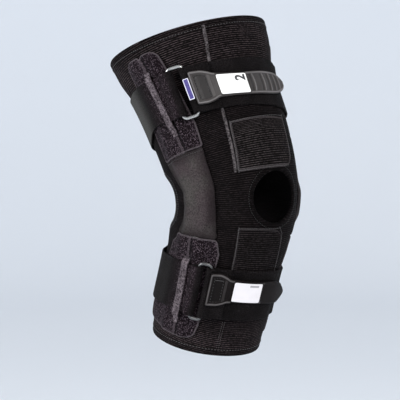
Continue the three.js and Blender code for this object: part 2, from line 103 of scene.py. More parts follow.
def lamp(name, place, size, power, colour):
    """A soft round lamp that points at the brace."""
    data = bpy.data.lights.new(name, "AREA")
    data.shape = "DISK"
    data.size = size
    data.energy = power
    data.color = colour
    light = add_object(name, data)
    light.location = place
    light.rotation_euler = (AIM - Vector(place)).to_track_quat("-Z", "Y").to_euler()


lamp("key", (-1.3, -2.3, 1.6), size=1.0, power=60, colour=(1.0, 0.97, 0.95))
lamp("side", (-2.5, 0.9, 0.8), size=0.9, power=70, colour=(0.98, 0.99, 1.0))
lamp("fill", (1.9, -1.5, 0.7), size=1.2, power=14, colour=(1.0, 0.98, 0.99))

world = bpy.data.worlds.new("studio")
world.use_nodes = True
sky = world.node_tree.nodes["Background"]
sky.inputs["Color"].default_value = (0.93, 0.96, 1.0, 1)
sky.inputs["Strength"].default_value = 0.62
bpy.context.scene.world = world

FLOOR_HEIGHT = -0.62
FLOOR_RADIUS = 3.4
RIM_RADIUS = 1.2


def dish():
    """A round pale floor whose rim curves up into a low wall."""
    profile = [(0.0, 0.0), (1.2, 0.0), (2.4, 0.0), (FLOOR_RADIUS, 0.0)]
    for t in np.linspace(0.15, math.pi / 2, 12):
        profile.append((FLOOR_RADIUS + RIM_RADIUS * math.sin(t), RIM_RADIUS - RIM_RADIUS * math.cos(t)))
    wall = FLOOR_RADIUS + RIM_RADIUS
    profile += [(wall, 2.0), (wall, 3.0)]
    turns = 96
    points = [(0, 0, FLOOR_HEIGHT)]
    for radius, height in profile[1:]:
        for k in range(turns):
            t = 2 * math.pi * k / turns
            points.append((radius * math.cos(t), radius * math.sin(t), FLOOR_HEIGHT + height))
    faces = [(0, 1 + k, 1 + (k + 1) % turns) for k in range(turns)]
    for ring in range(len(profile) - 2):
        low = 1 + ring * turns
        for k in range(turns):
            n = (k + 1) % turns
            faces.append((low + k, low + turns + k, low + turns + n, low + n))
    mesh = bpy.data.meshes.new("studio_dish")
    mesh.from_pydata(points, [], faces)
    mesh.shade_smooth()
    return add_object("studio_dish", mesh)


def cloudy(tree, place, scale, detail=2.0):
    """Soft random spots, the finer the larger the scale."""
    return put(tree, "ShaderNodeTexNoise", {"Vector": place, "Scale": scale, "Detail": detail}).outputs["Fac"]


def blend_colours(tree, factor, first, second):
    node = put(tree, "ShaderNodeMix", data_type="RGBA")
    for number, value in ((0, factor), (6, first), (7, second)):
        give(tree, node.inputs[number], value)
    return node.outputs[2]


floor = dish()
floor_paint, tree, shader = new_material("studio_paint")
mottle = cloudy(tree, place_on_object(tree), 0.35, 1.0)
tone = blend_colours(tree, mottle, (0.78, 0.82, 0.87, 1), (0.84, 0.865, 0.90, 1))
give(tree, shader.inputs["Base Color"], tone)
give(tree, shader.inputs["Roughness"], 0.9)
floor.data.materials.append(floor_paint)


# Sleeve: a tube of ribbed elastic knit, 3 mm thick, shaped to a bent leg. Both
# rims are turned under and sewn, the kneecap opening has a smooth bound edge,
# and the hollow of the knee is cut out with a stitched border.
THIGH_LENGTH = 178
CALF_LENGTH = 145
THIGH_LEAN = 22
CALF_LEAN = 17
BEND_LENGTH = 110
LIMB = {
    # part: length, width, depth
    "thigh": (THIGH_LENGTH, 160, 165),
    "knee": (THIGH_LENGTH, 125, 132),
    "calf": (-CALF_LENGTH, 112, 115),
}
LEG_ROWS = [
    # part, along, outer, inner, front, back
    ("calf", 1.05, 0.485, 0.495, 0.48, 0.51),
    ("calf", 0.81, 0.525, 0.5, 0.49, 0.54),
    ("calf", 0.61, 0.52, 0.49, 0.495, 0.545),
    ("calf", 0.41, 0.525, 0.485, 0.495, 0.545),
    ("calf", 0.24, 0.535, 0.515, 0.53, 0.55),
    ("knee", -0.06, 0.47, 0.51, 0.52, 0.465),
    ("knee", 0.08, 0.475, 0.53, 0.55, 0.465),
    ("knee", 0.27, 0.5, 0.555, 0.565, 0.475),
    ("thigh", 0.45, 0.405, 0.45, 0.45, 0.4),
    ("thigh", 0.6, 0.425, 0.45, 0.445, 0.42),
    ("thigh", 0.75, 0.455, 0.47, 0.46, 0.45),
    ("thigh", 0.89, 0.49, 0.51, 0.487, 0.51),
    ("thigh", 1.03, 0.515, 0.52, 0.493, 0.545),
]
TOP_DIP = 3.5
TOP_FRONT_DIP = 5
BOTTOM_RISE = 5.5
KNIT = 3.0
HEM = 7.0
HEM_FOLD = 0.3
KNEECAP = {"at": 7.8, "height": 7.1, "half_angle": 26.5, "half_height": 19.4, "power": 2}
KNEE_HOLLOW = {"at": 180, "height": 11, "half_angle": 65, "half_height": 43, "power": 2.3}
KNEECAP_BINDING = 0.35


def smooth_line(places, values):
    """A smooth line through the points that never overshoots them."""
    x = np.asarray(places, float)
    y = np.asarray(values, float)
    slopes = np.diff(y) / np.diff(x)
    tangents = np.empty(len(x))
    tangents[0], tangents[-1] = slopes[0], slopes[-1]
    a, b = slopes[:-1], slopes[1:]
    total = np.where(a + b == 0, 1, a + b)
    tangents[1:-1] = np.where(a * b <= 0, 0, 2 * a * b / total)

    def at(value):
        value = np.asarray(value, float)
        i = np.clip(np.searchsorted(x, value) - 1, 0, len(x) - 2)
        width = x[i + 1] - x[i]
        t = (value - x[i]) / width
        start = (1 + 2 * t) * (1 - t) ** 2 * y[i] + t * (1 - t) ** 2 * width * tangents[i]
        return start + t * t * (3 - 2 * t) * y[i + 1] + t * t * (t - 1) * width * tangents[i + 1]

    return at


heights_of_rows = [LIMB[part][0] * share for part, share, *_ in LEG_ROWS]
half_size = {
    name: smooth_line(heights_of_rows, [LIMB[row[0]][size] * row[column] for row in LEG_ROWS])
    for name, column, size in (("outer", 2, 1), ("inner", 3, 1), ("front", 4, 2), ("back", 5, 2))
}


def middle_line(height):
    """Lean, y and z of the middle of the leg: straight thigh and calf joined by an arc."""
    turn = math.radians(THIGH_LEAN + CALF_LEAN) / BEND_LENGTH
    knee = math.radians(THIGH_LEAN - CALF_LEAN) / 2
    near = np.clip(height, -BEND_LENGTH / 2, BEND_LENGTH / 2)
    lean = knee + turn * near
    rest = height - near
    y = (math.cos(knee) - np.cos(lean)) / turn + rest * np.sin(lean)
    z = (np.sin(lean) - math.sin(knee)) / turn + rest * np.cos(lean)
    return lean, y, z


def halves(angle, height):
    """Cosine and sine of an angle round the leg, and the leg's half depth and width on that side."""
    c, s = np.cos(np.radians(angle)), np.sin(np.radians(angle))
    depth = np.where(c > 0, half_size["front"](height), half_size["back"](height))
    width = np.where(s > 0, half_size["outer"](height), half_size["inner"](height))
    return c, s, depth, width


def on_leg(angle, height, out):
    """Points in metres, from degrees round the leg (0 front, 90 outer side), mm up it and mm off it."""
    angle, height, out = np.broadcast_arrays(*(np.asarray(v, float) for v in (angle, height, out)))
    c, s, depth, width = halves(angle, height)
    norm = np.hypot(c / depth, s / width)
    forward = depth * c + out * c / depth / norm
    side = width * s + out * s / width / norm
    lean, y, z = middle_line(height)
    return np.stack([-side, y - forward * np.cos(lean), z + forward * np.sin(lean)], -1) / 1000


def per_degree(angle, height):
    """Millimetres round the leg for one degree."""
    c, s, depth, width = halves(angle, height)
    return np.radians(np.hypot(width * c, depth * s))


def ease(value, low, high):
    """A soft step from 0 at low to 1 at high."""
    t = np.clip((np.asarray(value, float) - low) / (high - low), 0, 1)
    return t * t * (3 - 2 * t)


def unit(vectors):
    return vectors / np.maximum(np.linalg.norm(vectors, axis=-1, keepdims=True), 1e-12)


# Cloth maps count millimetres round a leg of this radius.
MAP_RADIUS = 65
GIRTH = 2 * math.pi * MAP_RADIUS


def add_mesh(name, points, faces, uv, edge, material):
    """A smooth mesh with a cloth UV map in mm and each point's distance to the border."""
    mesh = bpy.data.meshes.new(name)
    mesh.from_pydata(np.asarray(points).tolist(), [], faces)
    mesh.shade_smooth()
    corners = np.empty(len(mesh.loops), int)
    mesh.loops.foreach_get("vertex_index", corners)
    corner_uv = np.asarray(uv, float)[corners]
    starts = np.empty(len(mesh.polygons), int)
    mesh.polygons.foreach_get("loop_start", starts)
    low = np.minimum.reduceat(corner_uv[:, 0], starts)
    high = np.maximum.reduceat(corner_uv[:, 0], starts)
    owner = np.repeat(np.arange(len(starts)), np.diff(np.append(starts, len(corners))))
    wraps = ((high - low) > GIRTH / 2)[owner] & (corner_uv[:, 0] < GIRTH / 2)
    corner_uv[wraps, 0] += GIRTH
    layer = mesh.uv_layers.new(name="cloth")
    layer.data.foreach_set("uv", corner_uv.astype(np.float32).ravel())
    mesh.attributes.new("edge", "FLOAT", "POINT").data.foreach_set("value", np.asarray(edge, np.float32))
    mesh.materials.append(material)
    return add_object(name, mesh)


RIM_STEPS = 4
# The edge attribute of a cloth's inner face, where the outer face has mm.
INNER_FACE = -1.0


def cloth(name, outer, inner, faces, uv, edge, material, bulge=1.0):
    """A wall of cloth between an outer and an inner face, with a rounded edge all round."""
    outer, inner = np.asarray(outer), np.asarray(inner)
    first = faces[0]
    across = np.cross(outer[first[1]] - outer[first[0]], outer[first[2]] - outer[first[0]])
    if np.dot(across, outer[first[0]] - inner[first[0]]) < 0:
        faces = [tuple(reversed(face)) for face in faces]
    sides = {}
    for face in faces:
        for a, b in zip(face, face[1:] + face[:1]):
            sides[(a, b)] = True
    border = [(a, b) for a, b in sides if (b, a) not in sides]
    after = dict(border)
    before = {b: a for a, b in border}
    rim = np.array(sorted(after))
    slot_of = {v: k for k, v in enumerate(rim)}
    normal = unit(outer[rim] - inner[rim])
    tangent = unit(outer[[after[v] for v in rim]] - outer[[before[v] for v in rim]])
    outward = unit(np.cross(tangent, normal))
    half = np.linalg.norm(outer[rim] - inner[rim], axis=1)[:, None] / 2
    centre = (outer[rim] + inner[rim]) / 2
    points = [outer, inner]
    uvs = [uv, uv]
    edges = [edge, np.full(len(inner), INNER_FACE)]
    count = len(outer)
    for k in range(1, RIM_STEPS):
        t = math.pi * k / RIM_STEPS
        points.append(centre + half * (normal * math.cos(t) + outward * bulge * math.sin(t)))
        uvs.append(np.asarray(uv)[rim])
        edges.append(np.zeros(len(rim)))
    rings = [lambda v: v]
    rings += [lambda v, k=k: 2 * count + k * len(rim) + slot_of[v] for k in range(RIM_STEPS - 1)]
    rings.append(lambda v: v + count)
    all_faces = list(faces)
    all_faces += [tuple(v + count for v in reversed(face)) for face in faces]
    for a, b in border:
        for low, high in zip(rings, rings[1:]):
            all_faces.append((low(b), low(a), high(a), high(b)))
    points, uvs, edges = (np.concatenate(parts) for parts in (points, uvs, edges))
    return add_mesh(name, points, all_faces, uvs, edges, material)


def grid_faces(columns, rows):
    """Faces of a grid of points that are numbered row by row up each column."""
    step = rows + 1
    return [
        (i * step + j, (i + 1) * step + j, (i + 1) * step + j + 1, i * step + j + 1)
        for i in range(columns) for j in range(rows)
    ]


def rims(angle):
    """Heights of the bottom and top rims round the leg."""
    c, s = np.cos(np.radians(angle)), np.sin(np.radians(angle))
    return -CALF_LENGTH + BOTTOM_RISE * c, THIGH_LENGTH - TOP_DIP * s - TOP_FRONT_DIP * c


def beyond(hole, angle, height):
    """Millimetres outside an opening's outline, negative inside it."""
    turn = (np.asarray(angle) - hole["at"] + 180) % 360 - 180
    power = hole["power"]

    def shape(a, h):
        sideways = np.abs(a / hole["half_angle"]) ** power
        upright = np.abs((h - hole["height"]) / hole["half_height"]) ** power
        return (sideways + upright) ** (1 / power)

    value = shape(turn, height)
    mm = per_degree(angle, height)
    around = (shape(turn + 0.5, height) - shape(turn - 0.5, height)) / mm
    upward = shape(turn, height + 0.5) - shape(turn, height - 0.5)
    return (value - 1) / np.maximum(np.hypot(around, upward), 1e-6)


def calc(tree, operation, *values):
    """A sum in the shader, of sockets and numbers."""
    node = put(tree, "ShaderNodeMath", operation=operation)
    for socket, value in zip(node.inputs, values):
        give(tree, socket, value)
    return node.outputs[0]


def times(tree, *values):
    """The product of two or more values."""
    product = values[0]
    for value in values[1:]:
        product = calc(tree, "MULTIPLY", product, value)
    return product


def without(tree, mask, share=1.0):
    """1, less a share of it where the mask is."""
    return calc(tree, "SUBTRACT", 1.0, times(tree, mask, share))


def spread(tree, value, low, high, to_low=0.0, to_high=1.0):
    """A value between low and high, turned into one between to_low and to_high."""
    node = put(tree, "ShaderNodeMapRange", {
        "Value": value, "From Min": low, "From Max": high, "To Min": to_low, "To Max": to_high,
    })
    return node.outputs["Result"]


def effect(name, inputs, outputs):
    """An empty shader effect with named float or vector inputs and outputs."""
    tree = bpy.data.node_groups.new(name, "ShaderNodeTree")
    for label, kind, value in inputs:
        socket = tree.interface.new_socket(label, in_out="INPUT", socket_type="NodeSocket" + kind)
        if value is not None:
            socket.default_value = value
    for label, kind in outputs:
        tree.interface.new_socket(label, in_out="OUTPUT", socket_type="NodeSocket" + kind)
    start = tree.nodes.new("NodeGroupInput")
    end = tree.nodes.new("NodeGroupOutput")
    return tree, start, end


# Ribs that run round the leg, each broken into short dashes of lighter yarn.
rib_knit, given, made = effect(
    "rib_knit",
    [("Place", "Vector", None), ("Rib spacing", "Float", 2.15), ("Dash length", "Float", 2.4)],
    [("Light yarn", "Float"), ("Height", "Float"), ("Blotches", "Float")],
)
split = put(rib_knit, "ShaderNodeSeparateXYZ", {"Vector": given.outputs["Place"]})
ribs = calc(rib_knit, "DIVIDE", split.outputs["Y"], given.outputs["Rib spacing"])
wave = calc(rib_knit, "COSINE", times(rib_knit, ribs, 2 * math.pi))
crest = calc(rib_knit, "MULTIPLY_ADD", wave, 0.5, 0.5)
row_number = calc(rib_knit, "FLOOR", calc(rib_knit, "ADD", ribs, 0.5))
dashes = put(rib_knit, "ShaderNodeCombineXYZ", {
    "X": calc(rib_knit, "DIVIDE", split.outputs["X"], given.outputs["Dash length"]),
    "Y": times(rib_knit, row_number, 5.37),
})
dash = cloudy(rib_knit, dashes.outputs["Vector"], 1.0, 1.0)
blotch = cloudy(rib_knit, given.outputs["Place"], 0.055, 2.0)
light = times(rib_knit, calc(rib_knit, "POWER", crest, 2.6), spread(rib_knit, dash, 0.33, 0.66, 0.12, 1.0))
raised = times(rib_knit, crest, spread(rib_knit, dash, 0.25, 0.6, 0.75, 1.0))
for label, value in (("Light yarn", light), ("Height", raised), ("Blotches", blotch)):
    give(rib_knit, made.inputs[label], value)


def attribute(tree, name):
    return put(tree, "ShaderNodeAttribute", attribute_name=name).outputs["Fac"]


def fabric(name, roughness, sheen, sheen_tint=(1, 1, 1, 1)):
    """A dull material, its tree and shader, the place on its cloth map and the distance to its border."""
    material, tree, shader = new_material(name)
    give(tree, shader.inputs["Roughness"], roughness)
    give(tree, shader.inputs["Sheen Weight"], sheen)
    give(tree, shader.inputs["Sheen Roughness"], 0.45)
    give(tree, shader.inputs["Sheen Tint"], sheen_tint)
    give(tree, shader.inputs["Specular IOR Level"], 0.04)
    place = put(tree, "ShaderNodeUVMap", uv_map="cloth").outputs["UV"]
    return material, tree, shader, place, attribute(tree, "edge")


def use_effect(tree, group, **inputs):
    """The outputs of a shader effect; an input's name has _ for each space."""
    node = tree.nodes.new("ShaderNodeGroup")
    node.node_tree = group
    for label, value in inputs.items():
        give(tree, node.inputs[label.replace("_", " ")], value)
    return node.outputs


def raise_surface(tree, shader, height, strength, millimetres):
    """A pattern that stands up from the surface by some millimetres."""
    bump = put(tree, "ShaderNodeBump", {
        "Height": height, "Strength": strength, "Distance": millimetres / 1000,
    })
    give(tree, shader.inputs["Normal"], bump.outputs["Normal"])


def knit_cloth(name, hem, spacing, dark, light, felted=0.0):
    """Ribbed knit with a smooth turned border as wide as hem, and darker fine yarn on the inside."""
    material, tree, shader, place, border = fabric(name, 0.85, 0.0)
    knit = use_effect(tree, rib_knit, Place=place, Rib_spacing=spacing)
    along = put(tree, "ShaderNodeSeparateXYZ", {"Vector": place}).outputs["Y"]
    inside = calc(tree, "LESS_THAN", border, INNER_FACE / 2)
    turned = times(tree, calc(tree, "LESS_THAN", border, hem), without(tree, inside))
    # The knee is the darkest part, and the calf end is the lightest.
    yarn = times(
        tree, knit["Light yarn"], spread(tree, knit["Blotches"], 0.3, 0.75, 0.55, 1.15),
        without(tree, inside, 0.8), without(tree, turned, 0.45),
        spread(tree, calc(tree, "ABSOLUTE", along), 95.0, 165.0, 0.31, 1.0),
        spread(tree, along, -160.0, -110.0, 1.3, 1.0),
    )
    base = blend_colours(tree, yarn, dark, light)
    felt = times(tree, turned, spread(tree, cloudy(tree, place, 1.1), 0.35, 0.65, 0.3 * felted, felted))
    give(tree, shader.inputs["Base Color"], blend_colours(tree, felt, base, FELT_GREY))
    step = spread(tree, border, hem - 0.5, hem + 0.5, 1.0, 0.0)
    raise_surface(tree, shader, calc(tree, "ADD", times(tree, knit["Height"], 0.55), step), 0.9, 0.6)
    return material


KNIT_DARK = (0.0012, 0.0009, 0.0009, 1)
KNIT_LIGHT = (0.060, 0.045, 0.047, 1)
FELT_GREY = (0.085, 0.074, 0.076, 1)
sleeve_knit = knit_cloth("sleeve_knit", hem=HEM, spacing=2.15, dark=KNIT_DARK, light=KNIT_LIGHT)


# The turned borders of the two openings are this many times narrower than the hem.
KNEECAP_NARROWING = 1.7
HOLLOW_NARROWING = 1.1
# Ribs stand closer together near the knee, by this share and within this reach in mm.
RIB_CROWDING = 0.35
RIB_REACH = 75


def sleeve_mesh():
    """A tube of quads between the rims, cut along the outlines of the two openings."""
    columns, rows = 208, 144
    angles = np.repeat(np.arange(columns + 1) * 360 / columns, rows + 1)
    shares = np.tile(np.linspace(0, 1, rows + 1), columns + 1)
    low, high = rims(angles)
    heights = low + (high - low) * shares
    keep = np.minimum(beyond(KNEECAP, angles, heights), beyond(KNEE_HOLLOW, angles, heights))
    angles, heights, keep = list(angles), list(heights), list(keep)
    cuts = {}
    faces = []
    step = rows + 1

    def cut(a, b):
        key = (min(a, b), max(a, b))
        if key not in cuts:
            t = keep[a] / (keep[a] - keep[b])
            angles.append(angles[a] + t * (angles[b] - angles[a]))
            heights.append(heights[a] + t * (heights[b] - heights[a]))
            cuts[key] = len(angles) - 1
        return cuts[key]

    for quad in grid_faces(columns, rows):
        inside = [keep[v] > 0 for v in quad]
        if all(inside):
            faces.append(quad)
            continue
        if not any(inside):
            continue
        face = []
        for a, b in zip(quad, quad[1:] + quad[:1]):
            if keep[a] > 0:
                face.append(a)
            if (keep[a] > 0) != (keep[b] > 0):
                face.append(cut(a, b))
        faces.append(tuple(face))
    # The last column lies on the first one.
    last = range(columns * step, (columns + 1) * step)
    faces = [tuple(v - last.start if v in last else v for v in face) for face in faces]
    used = sorted({v for face in faces for v in face})
    number = {v: k for k, v in enumerate(used)}
    faces = [tuple(number[v] for v in face) for face in faces]
    angles, heights = np.array(angles)[used], np.array(heights)[used]
    low, high = rims(angles)
    kneecap = beyond(KNEECAP, angles, heights)
    hollow = beyond(KNEE_HOLLOW, angles, heights)
    rim = np.minimum(high - heights, heights - low)
    edge = np.minimum.reduce([
        rim, np.maximum(kneecap, 0) * KNEECAP_NARROWING, np.maximum(hollow, 0) * HOLLOW_NARROWING,
    ])
    turned = HEM_FOLD * (1 - ease(rim, HEM - 1, HEM + 1))
    bound = KNEECAP_BINDING * (1 - ease(kneecap, 2.5, 5.0))
    outer = on_leg(angles, heights, turned + bound)
    inner = on_leg(angles, heights, -KNIT - turned)
    courses = heights + RIB_CROWDING * RIB_REACH * np.tanh(heights / RIB_REACH)
    uv = np.stack([np.radians(angles) * MAP_RADIUS, courses], -1)
    return cloth("sleeve_cloth", outer, inner, faces, uv, np.maximum(edge, 0), sleeve_knit)


sleeve = sleeve_mesh()
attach(sleeve, "root")
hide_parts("sleeve")


def stitching_tree():
    """Stitches of thread laid at an even pitch along lines."""
    tree = bpy.data.node_groups.new("stitches_along_lines", "GeometryNodeTree")
    face = tree.interface
    face.new_socket("Geometry", in_out="INPUT", socket_type="NodeSocketGeometry")
    for label in ("Pitch", "Stitch length", "Thread width"):
        face.new_socket(label, in_out="INPUT", socket_type="NodeSocketFloat")
    face.new_socket("Thread", in_out="INPUT", socket_type="NodeSocketMaterial")
    face.new_socket("Geometry", in_out="OUTPUT", socket_type="NodeSocketGeometry")
    start = tree.nodes.new("NodeGroupInput")
    end = tree.nodes.new("NodeGroupOutput")
    lines = put(tree, "GeometryNodeMeshToCurve", {"Mesh": start.outputs["Geometry"]})
    points = put(tree, "GeometryNodeCurveToPoints", {
        "Curve": lines.outputs["Curve"], "Length": start.outputs["Pitch"],
    }, mode="LENGTH")
    turn = put(tree, "FunctionNodeAlignRotationToVector", {"Vector": points.outputs["Tangent"]}, axis="Z")
    ball = put(tree, "GeometryNodeMeshUVSphere", {"Segments": 6, "Rings": 4, "Radius": 0.5})
    width = start.outputs["Thread width"]
    size = put(tree, "ShaderNodeCombineXYZ", {"X": width, "Y": width, "Z": start.outputs["Stitch length"]})
    laid = put(tree, "GeometryNodeInstanceOnPoints", {
        "Points": points.outputs["Points"], "Instance": ball.outputs["Mesh"],
        "Rotation": turn.outputs["Rotation"], "Scale": size.outputs["Vector"],
    })
    real = put(tree, "GeometryNodeRealizeInstances", {"Geometry": laid.outputs["Instances"]})
    smooth = put(tree, "GeometryNodeSetShadeSmooth", {"Geometry": real.outputs["Geometry"]})
    done = put(tree, "GeometryNodeSetMaterial", {
        "Geometry": smooth.outputs["Geometry"], "Material": start.outputs["Thread"],
    })
    tree.links.new(done.outputs["Geometry"], end.inputs["Geometry"])
    return tree


stitches_along_lines = stitching_tree()


def sew(name, lines, pitch, length, width, thread):
    """Stitches along lines of points in metres, with their sizes in mm."""
    points, sides = [], []
    for line in lines:
        first = len(points)
        points += [tuple(p) for p in line]
        sides += [(k, k + 1) for k in range(first, len(points) - 1)]
    mesh = bpy.data.meshes.new(name)
    mesh.from_pydata(points, sides, [])
    made = add_object(name, mesh)
    modifier = made.modifiers.new("stitches", "NODES")
    modifier.node_group = stitches_along_lines
    sizes = {"Pitch": pitch, "Stitch length": length, "Thread width": width}
    values = {"Thread": thread, **{label: size / 1000 for label, size in sizes.items()}}
    for socket in stitches_along_lines.interface.items_tree:
        if socket.in_out == "INPUT" and socket.name in values:
            modifier[socket.identifier] = values[socket.name]
    shape = bpy.data.meshes.new_from_object(made.evaluated_get(bpy.context.evaluated_depsgraph_get()))
    made.modifiers.clear()
    made.data = shape
    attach(made, "root")


def thread_material(name, colour):
    """Twisted sewing thread with darker furrows."""
    material, tree, shader = new_material(name)
    twist = cloudy(tree, place_on_object(tree), 1400.0, 1.0)
    furrow = tuple(part * 0.45 for part in colour)
    give(tree, shader.inputs["Base Color"], blend_colours(tree, twist, (*furrow, 1), (*colour, 1)))
    give(tree, shader.inputs["Roughness"], 0.6)
    give(tree, shader.inputs["Sheen Weight"], 0.1)
    return material


black_thread = thread_material("black_thread", (0.006, 0.005, 0.005))
grey_thread = thread_material("grey_thread", (0.060, 0.054, 0.055))


def round_leg(inset, top):
    """A line round the leg, inset mm from the top or bottom rim."""
    angles = np.arange(0, 362.0, 2.0)
    low, high = rims(angles)
    return on_leg(angles, high - inset if top else low + inset, 0.4)


def round_hole(hole, margin, out):
    """A line round an opening, margin mm outside its outline."""
    t = np.linspace(0, 2 * math.pi, 181)
    c, s = np.cos(t), np.sin(t)
    a = np.sign(c) * np.abs(c) ** (2 / hole["power"])
    h = np.sign(s) * np.abs(s) ** (2 / hole["power"])
    mm = per_degree(hole["at"] + a * hole["half_angle"], hole["height"] + h * hole["half_height"])
    angle = hole["at"] + a * (hole["half_angle"] + margin / mm)
    return on_leg(angle, hole["height"] + h * (hole["half_height"] + margin), out)


sew("hem_stitches", [round_leg(5.6, True), round_leg(5.6, False)],
    pitch=3.2, length=2.1, width=0.6, thread=grey_thread)
sew("kneecap_stitches", [round_hole(KNEECAP, 3.0, 0.25)],
    pitch=2.4, length=1.5, width=0.5, thread=black_thread)
sew("knee_hollow_stitches", [round_hole(KNEE_HOLLOW, 2.6, 0.1), round_hole(KNEE_HOLLOW, 6.0, 0.1)],
    pitch=2.4, length=1.7, width=0.6, thread=grey_thread)


# Front flaps: two squares of the same knit, sewn on above and below the
# kneecap opening with a fine overlock stitch along their edges.
LAYER_GAP = 0.45


def height_at(share):
    """The height in mm at a share of the thigh's length, or of the calf's where it is negative."""
    return share * (THIGH_LENGTH if share > 0 else CALF_LENGTH)


def table_line(rows, column):
    """A column of a table as a function of the height."""
    places = [height_at(row[0]) for row in rows]
    return lambda height: np.interp(height, places, [row[column] for row in rows])


def table_ends(rows):
    return height_at(rows[0][0]), height_at(rows[-1][0])


def crowded(count, strength):
    """Shares from 0 to 1 that stand closer together near both ends."""
    t = np.linspace(0, 1, count + 1)
    return t - strength * np.sin(2 * np.pi * t) / (2 * np.pi)


def corner_inset(height, low, high, bottom, top):
    """How far a side pulls in near its ends for corners of the given radii, in mm."""
    inset = np.zeros_like(height)
    for radius, distance in ((bottom, height - low), (top, high - height)):
        if radius:
            d = np.clip(radius - distance, 0, radius)
            inset = np.maximum(inset, radius - np.sqrt(np.maximum(radius ** 2 - d ** 2, 0)))
    return inset


def same_place(angle):
    return angle


# The rounded edge of a patch takes this share of its wall, or this many mm where the wall changes.
EDGE_SHARE = 0.4
EDGE_INSET = 0.5


def patch(name, rows, rise, thickness, mesh_steps, material, corners, place=same_place, warp=None):
    """A sewn-on piece of cloth between two edges given row by row up the leg.

    The corner radii in mm are the first edge's at the bottom and top, and then the second edge's.
    """
    columns, steps = mesh_steps
    low, high = table_ends(rows)
    inset = EDGE_INSET if callable(thickness) else EDGE_SHARE * thickness
    low, high = low + inset, high - inset
    height = low + (high - low) * crowded(steps, 0.88)
    front, back = table_line(rows, 1)(height), table_line(rows, 2)(height)
    mm = per_degree(front, height)
    front = front + (inset + corner_inset(height, low, high, *corners[:2])) / mm
    back = back - (inset + corner_inset(height, low, high, *corners[2:])) / mm
    angle = (front + (back - front) * crowded(columns, 0.5)[:, None]).ravel()
    front, back, mm, height = (np.tile(line, columns + 1) for line in (front, back, mm, height))
    edge = np.minimum.reduce([(angle - front) * mm, (back - angle) * mm, height - low, high - height])
    if warp:
        height = warp(angle, height)
    inner_rise = rise(angle, height)
    wall = thickness(angle, height) if callable(thickness) else thickness
    outer = on_leg(place(angle), height, inner_rise + wall)
    inner = on_leg(place(angle), height, inner_rise)
    uv = np.stack([np.radians(angle) * MAP_RADIUS, height], -1)
    return cloth(name, outer, inner, grid_faces(columns, steps), uv, np.maximum(edge, 0), material)


def level(rise):
    """The rise of a piece that lies at one height over the sleeve."""
    return lambda angle, height: np.full_like(angle, rise)


FLAP = 1.4
CORNER_DROP = 2.6
UPPER_FLAP = [(0.154, 44, -8), (0.169, 44, -12.5), (0.197, 43.5, -14.5), (0.388, 40.5, -17)]
LOWER_FLAP = [(-0.414, 41, -12), (-0.207, 43, -7), (-0.131, 44.5, -3), (-0.097, 45, 2)]
flap_knit = {
    "front_flap_upper": knit_cloth(
        "flap_knit_upper", hem=1.8, spacing=1.55,
        dark=(0.0018, 0.0014, 0.0014, 1), light=(0.18, 0.148, 0.148, 1), felted=0.5,
    ),
    "front_flap_lower": knit_cloth(
        "flap_knit_lower", hem=1.5, spacing=1.6, dark=KNIT_DARK, light=(0.105, 0.084, 0.085, 1), felted=0.24,
    ),
}


def flap(name, rows, node, corners):
    """A square of knit whose inner top corner drops a little."""
    low, high = table_ends(rows)
    backwards = [(share, second, first) for share, first, second in rows]

    def dropped_corner(angle, height):
        return height - CORNER_DROP * ease(-angle, -35, 20) * ease(height, (low + high) / 2, high)

    made = patch(
        name, backwards, level(LAYER_GAP), FLAP, (40, 44), flap_knit[node], corners, warp=dropped_corner,
    )
    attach(made, "root")
    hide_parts(node)


flap("front_flap_upper_cloth", UPPER_FLAP, "front_flap_upper", (5, 2, 1, 1))
flap("front_flap_lower_cloth", LOWER_FLAP, "front_flap_lower", (2, 7, 1, 2))


LINE_POINTS = 60
END_MARGIN = 1.5


def edge_line(rows, column, inset, out, from_share=0.0):
    """A line beside one side of a patch, inset mm inside it."""
    low, high = table_ends(rows)
    heights = np.linspace(low + (high - low) * from_share, high, LINE_POINTS)
    angle = table_line(rows, column)(heights)
    other = table_line(rows, 3 - column)(heights)
    angle = angle + np.sign(other - angle) * inset / per_degree(angle, heights)
    return on_leg(angle, heights, out)


def end_line(rows, top, inset, out, place=same_place):
    """A line beside the top or bottom end of a patch, inset mm inside it."""
    low, high = table_ends(rows)
    height = high - inset if top else low + inset
    first, second = (float(table_line(rows, c)(height)) for c in (1, 2))
    margin = np.sign(second - first) * END_MARGIN / float(per_degree(first, height))
    angle = np.linspace(first + margin, second - margin, LINE_POINTS)
    heights = np.full(LINE_POINTS, height)
    return on_leg(place(angle), heights, out(angle, heights))


THREAD_RISE = 0.05
FLAP_STITCH_INSET = 0.9
FLAP_TOP = LAYER_GAP + FLAP + THREAD_RISE


def flap_edge(rows, column, from_share=0.0):
    return edge_line(rows, column, FLAP_STITCH_INSET, FLAP_TOP, from_share)


def flap_end(rows, top):
    return end_line(rows, top, FLAP_STITCH_INSET, level(FLAP_TOP))


sew("upper_flap_stitches", [
    flap_end(UPPER_FLAP, True), flap_end(UPPER_FLAP, False),
    flap_edge(UPPER_FLAP, 1), flap_edge(UPPER_FLAP, 2, 0.12),
], pitch=1.5, length=1.35, width=0.55, thread=grey_thread)
sew("lower_flap_stitches", [
    flap_end(LOWER_FLAP, True), flap_edge(LOWER_FLAP, 1), flap_edge(LOWER_FLAP, 2),
], pitch=1.5, length=1.3, width=0.5, thread=grey_thread)

# The sleeve's front seam shows again below the lower strap, as two lines of stitches.
SEAM_ANGLES = (35.2, 37.4)
SEAM_HEIGHTS = np.linspace(-0.72, -0.93, 30) * CALF_LENGTH
sew("lower_seam_stitches", [on_leg(angle, SEAM_HEIGHTS, THREAD_RISE) for angle in SEAM_ANGLES],
    pitch=2.3, length=1.3, width=0.5, thread=grey_thread)


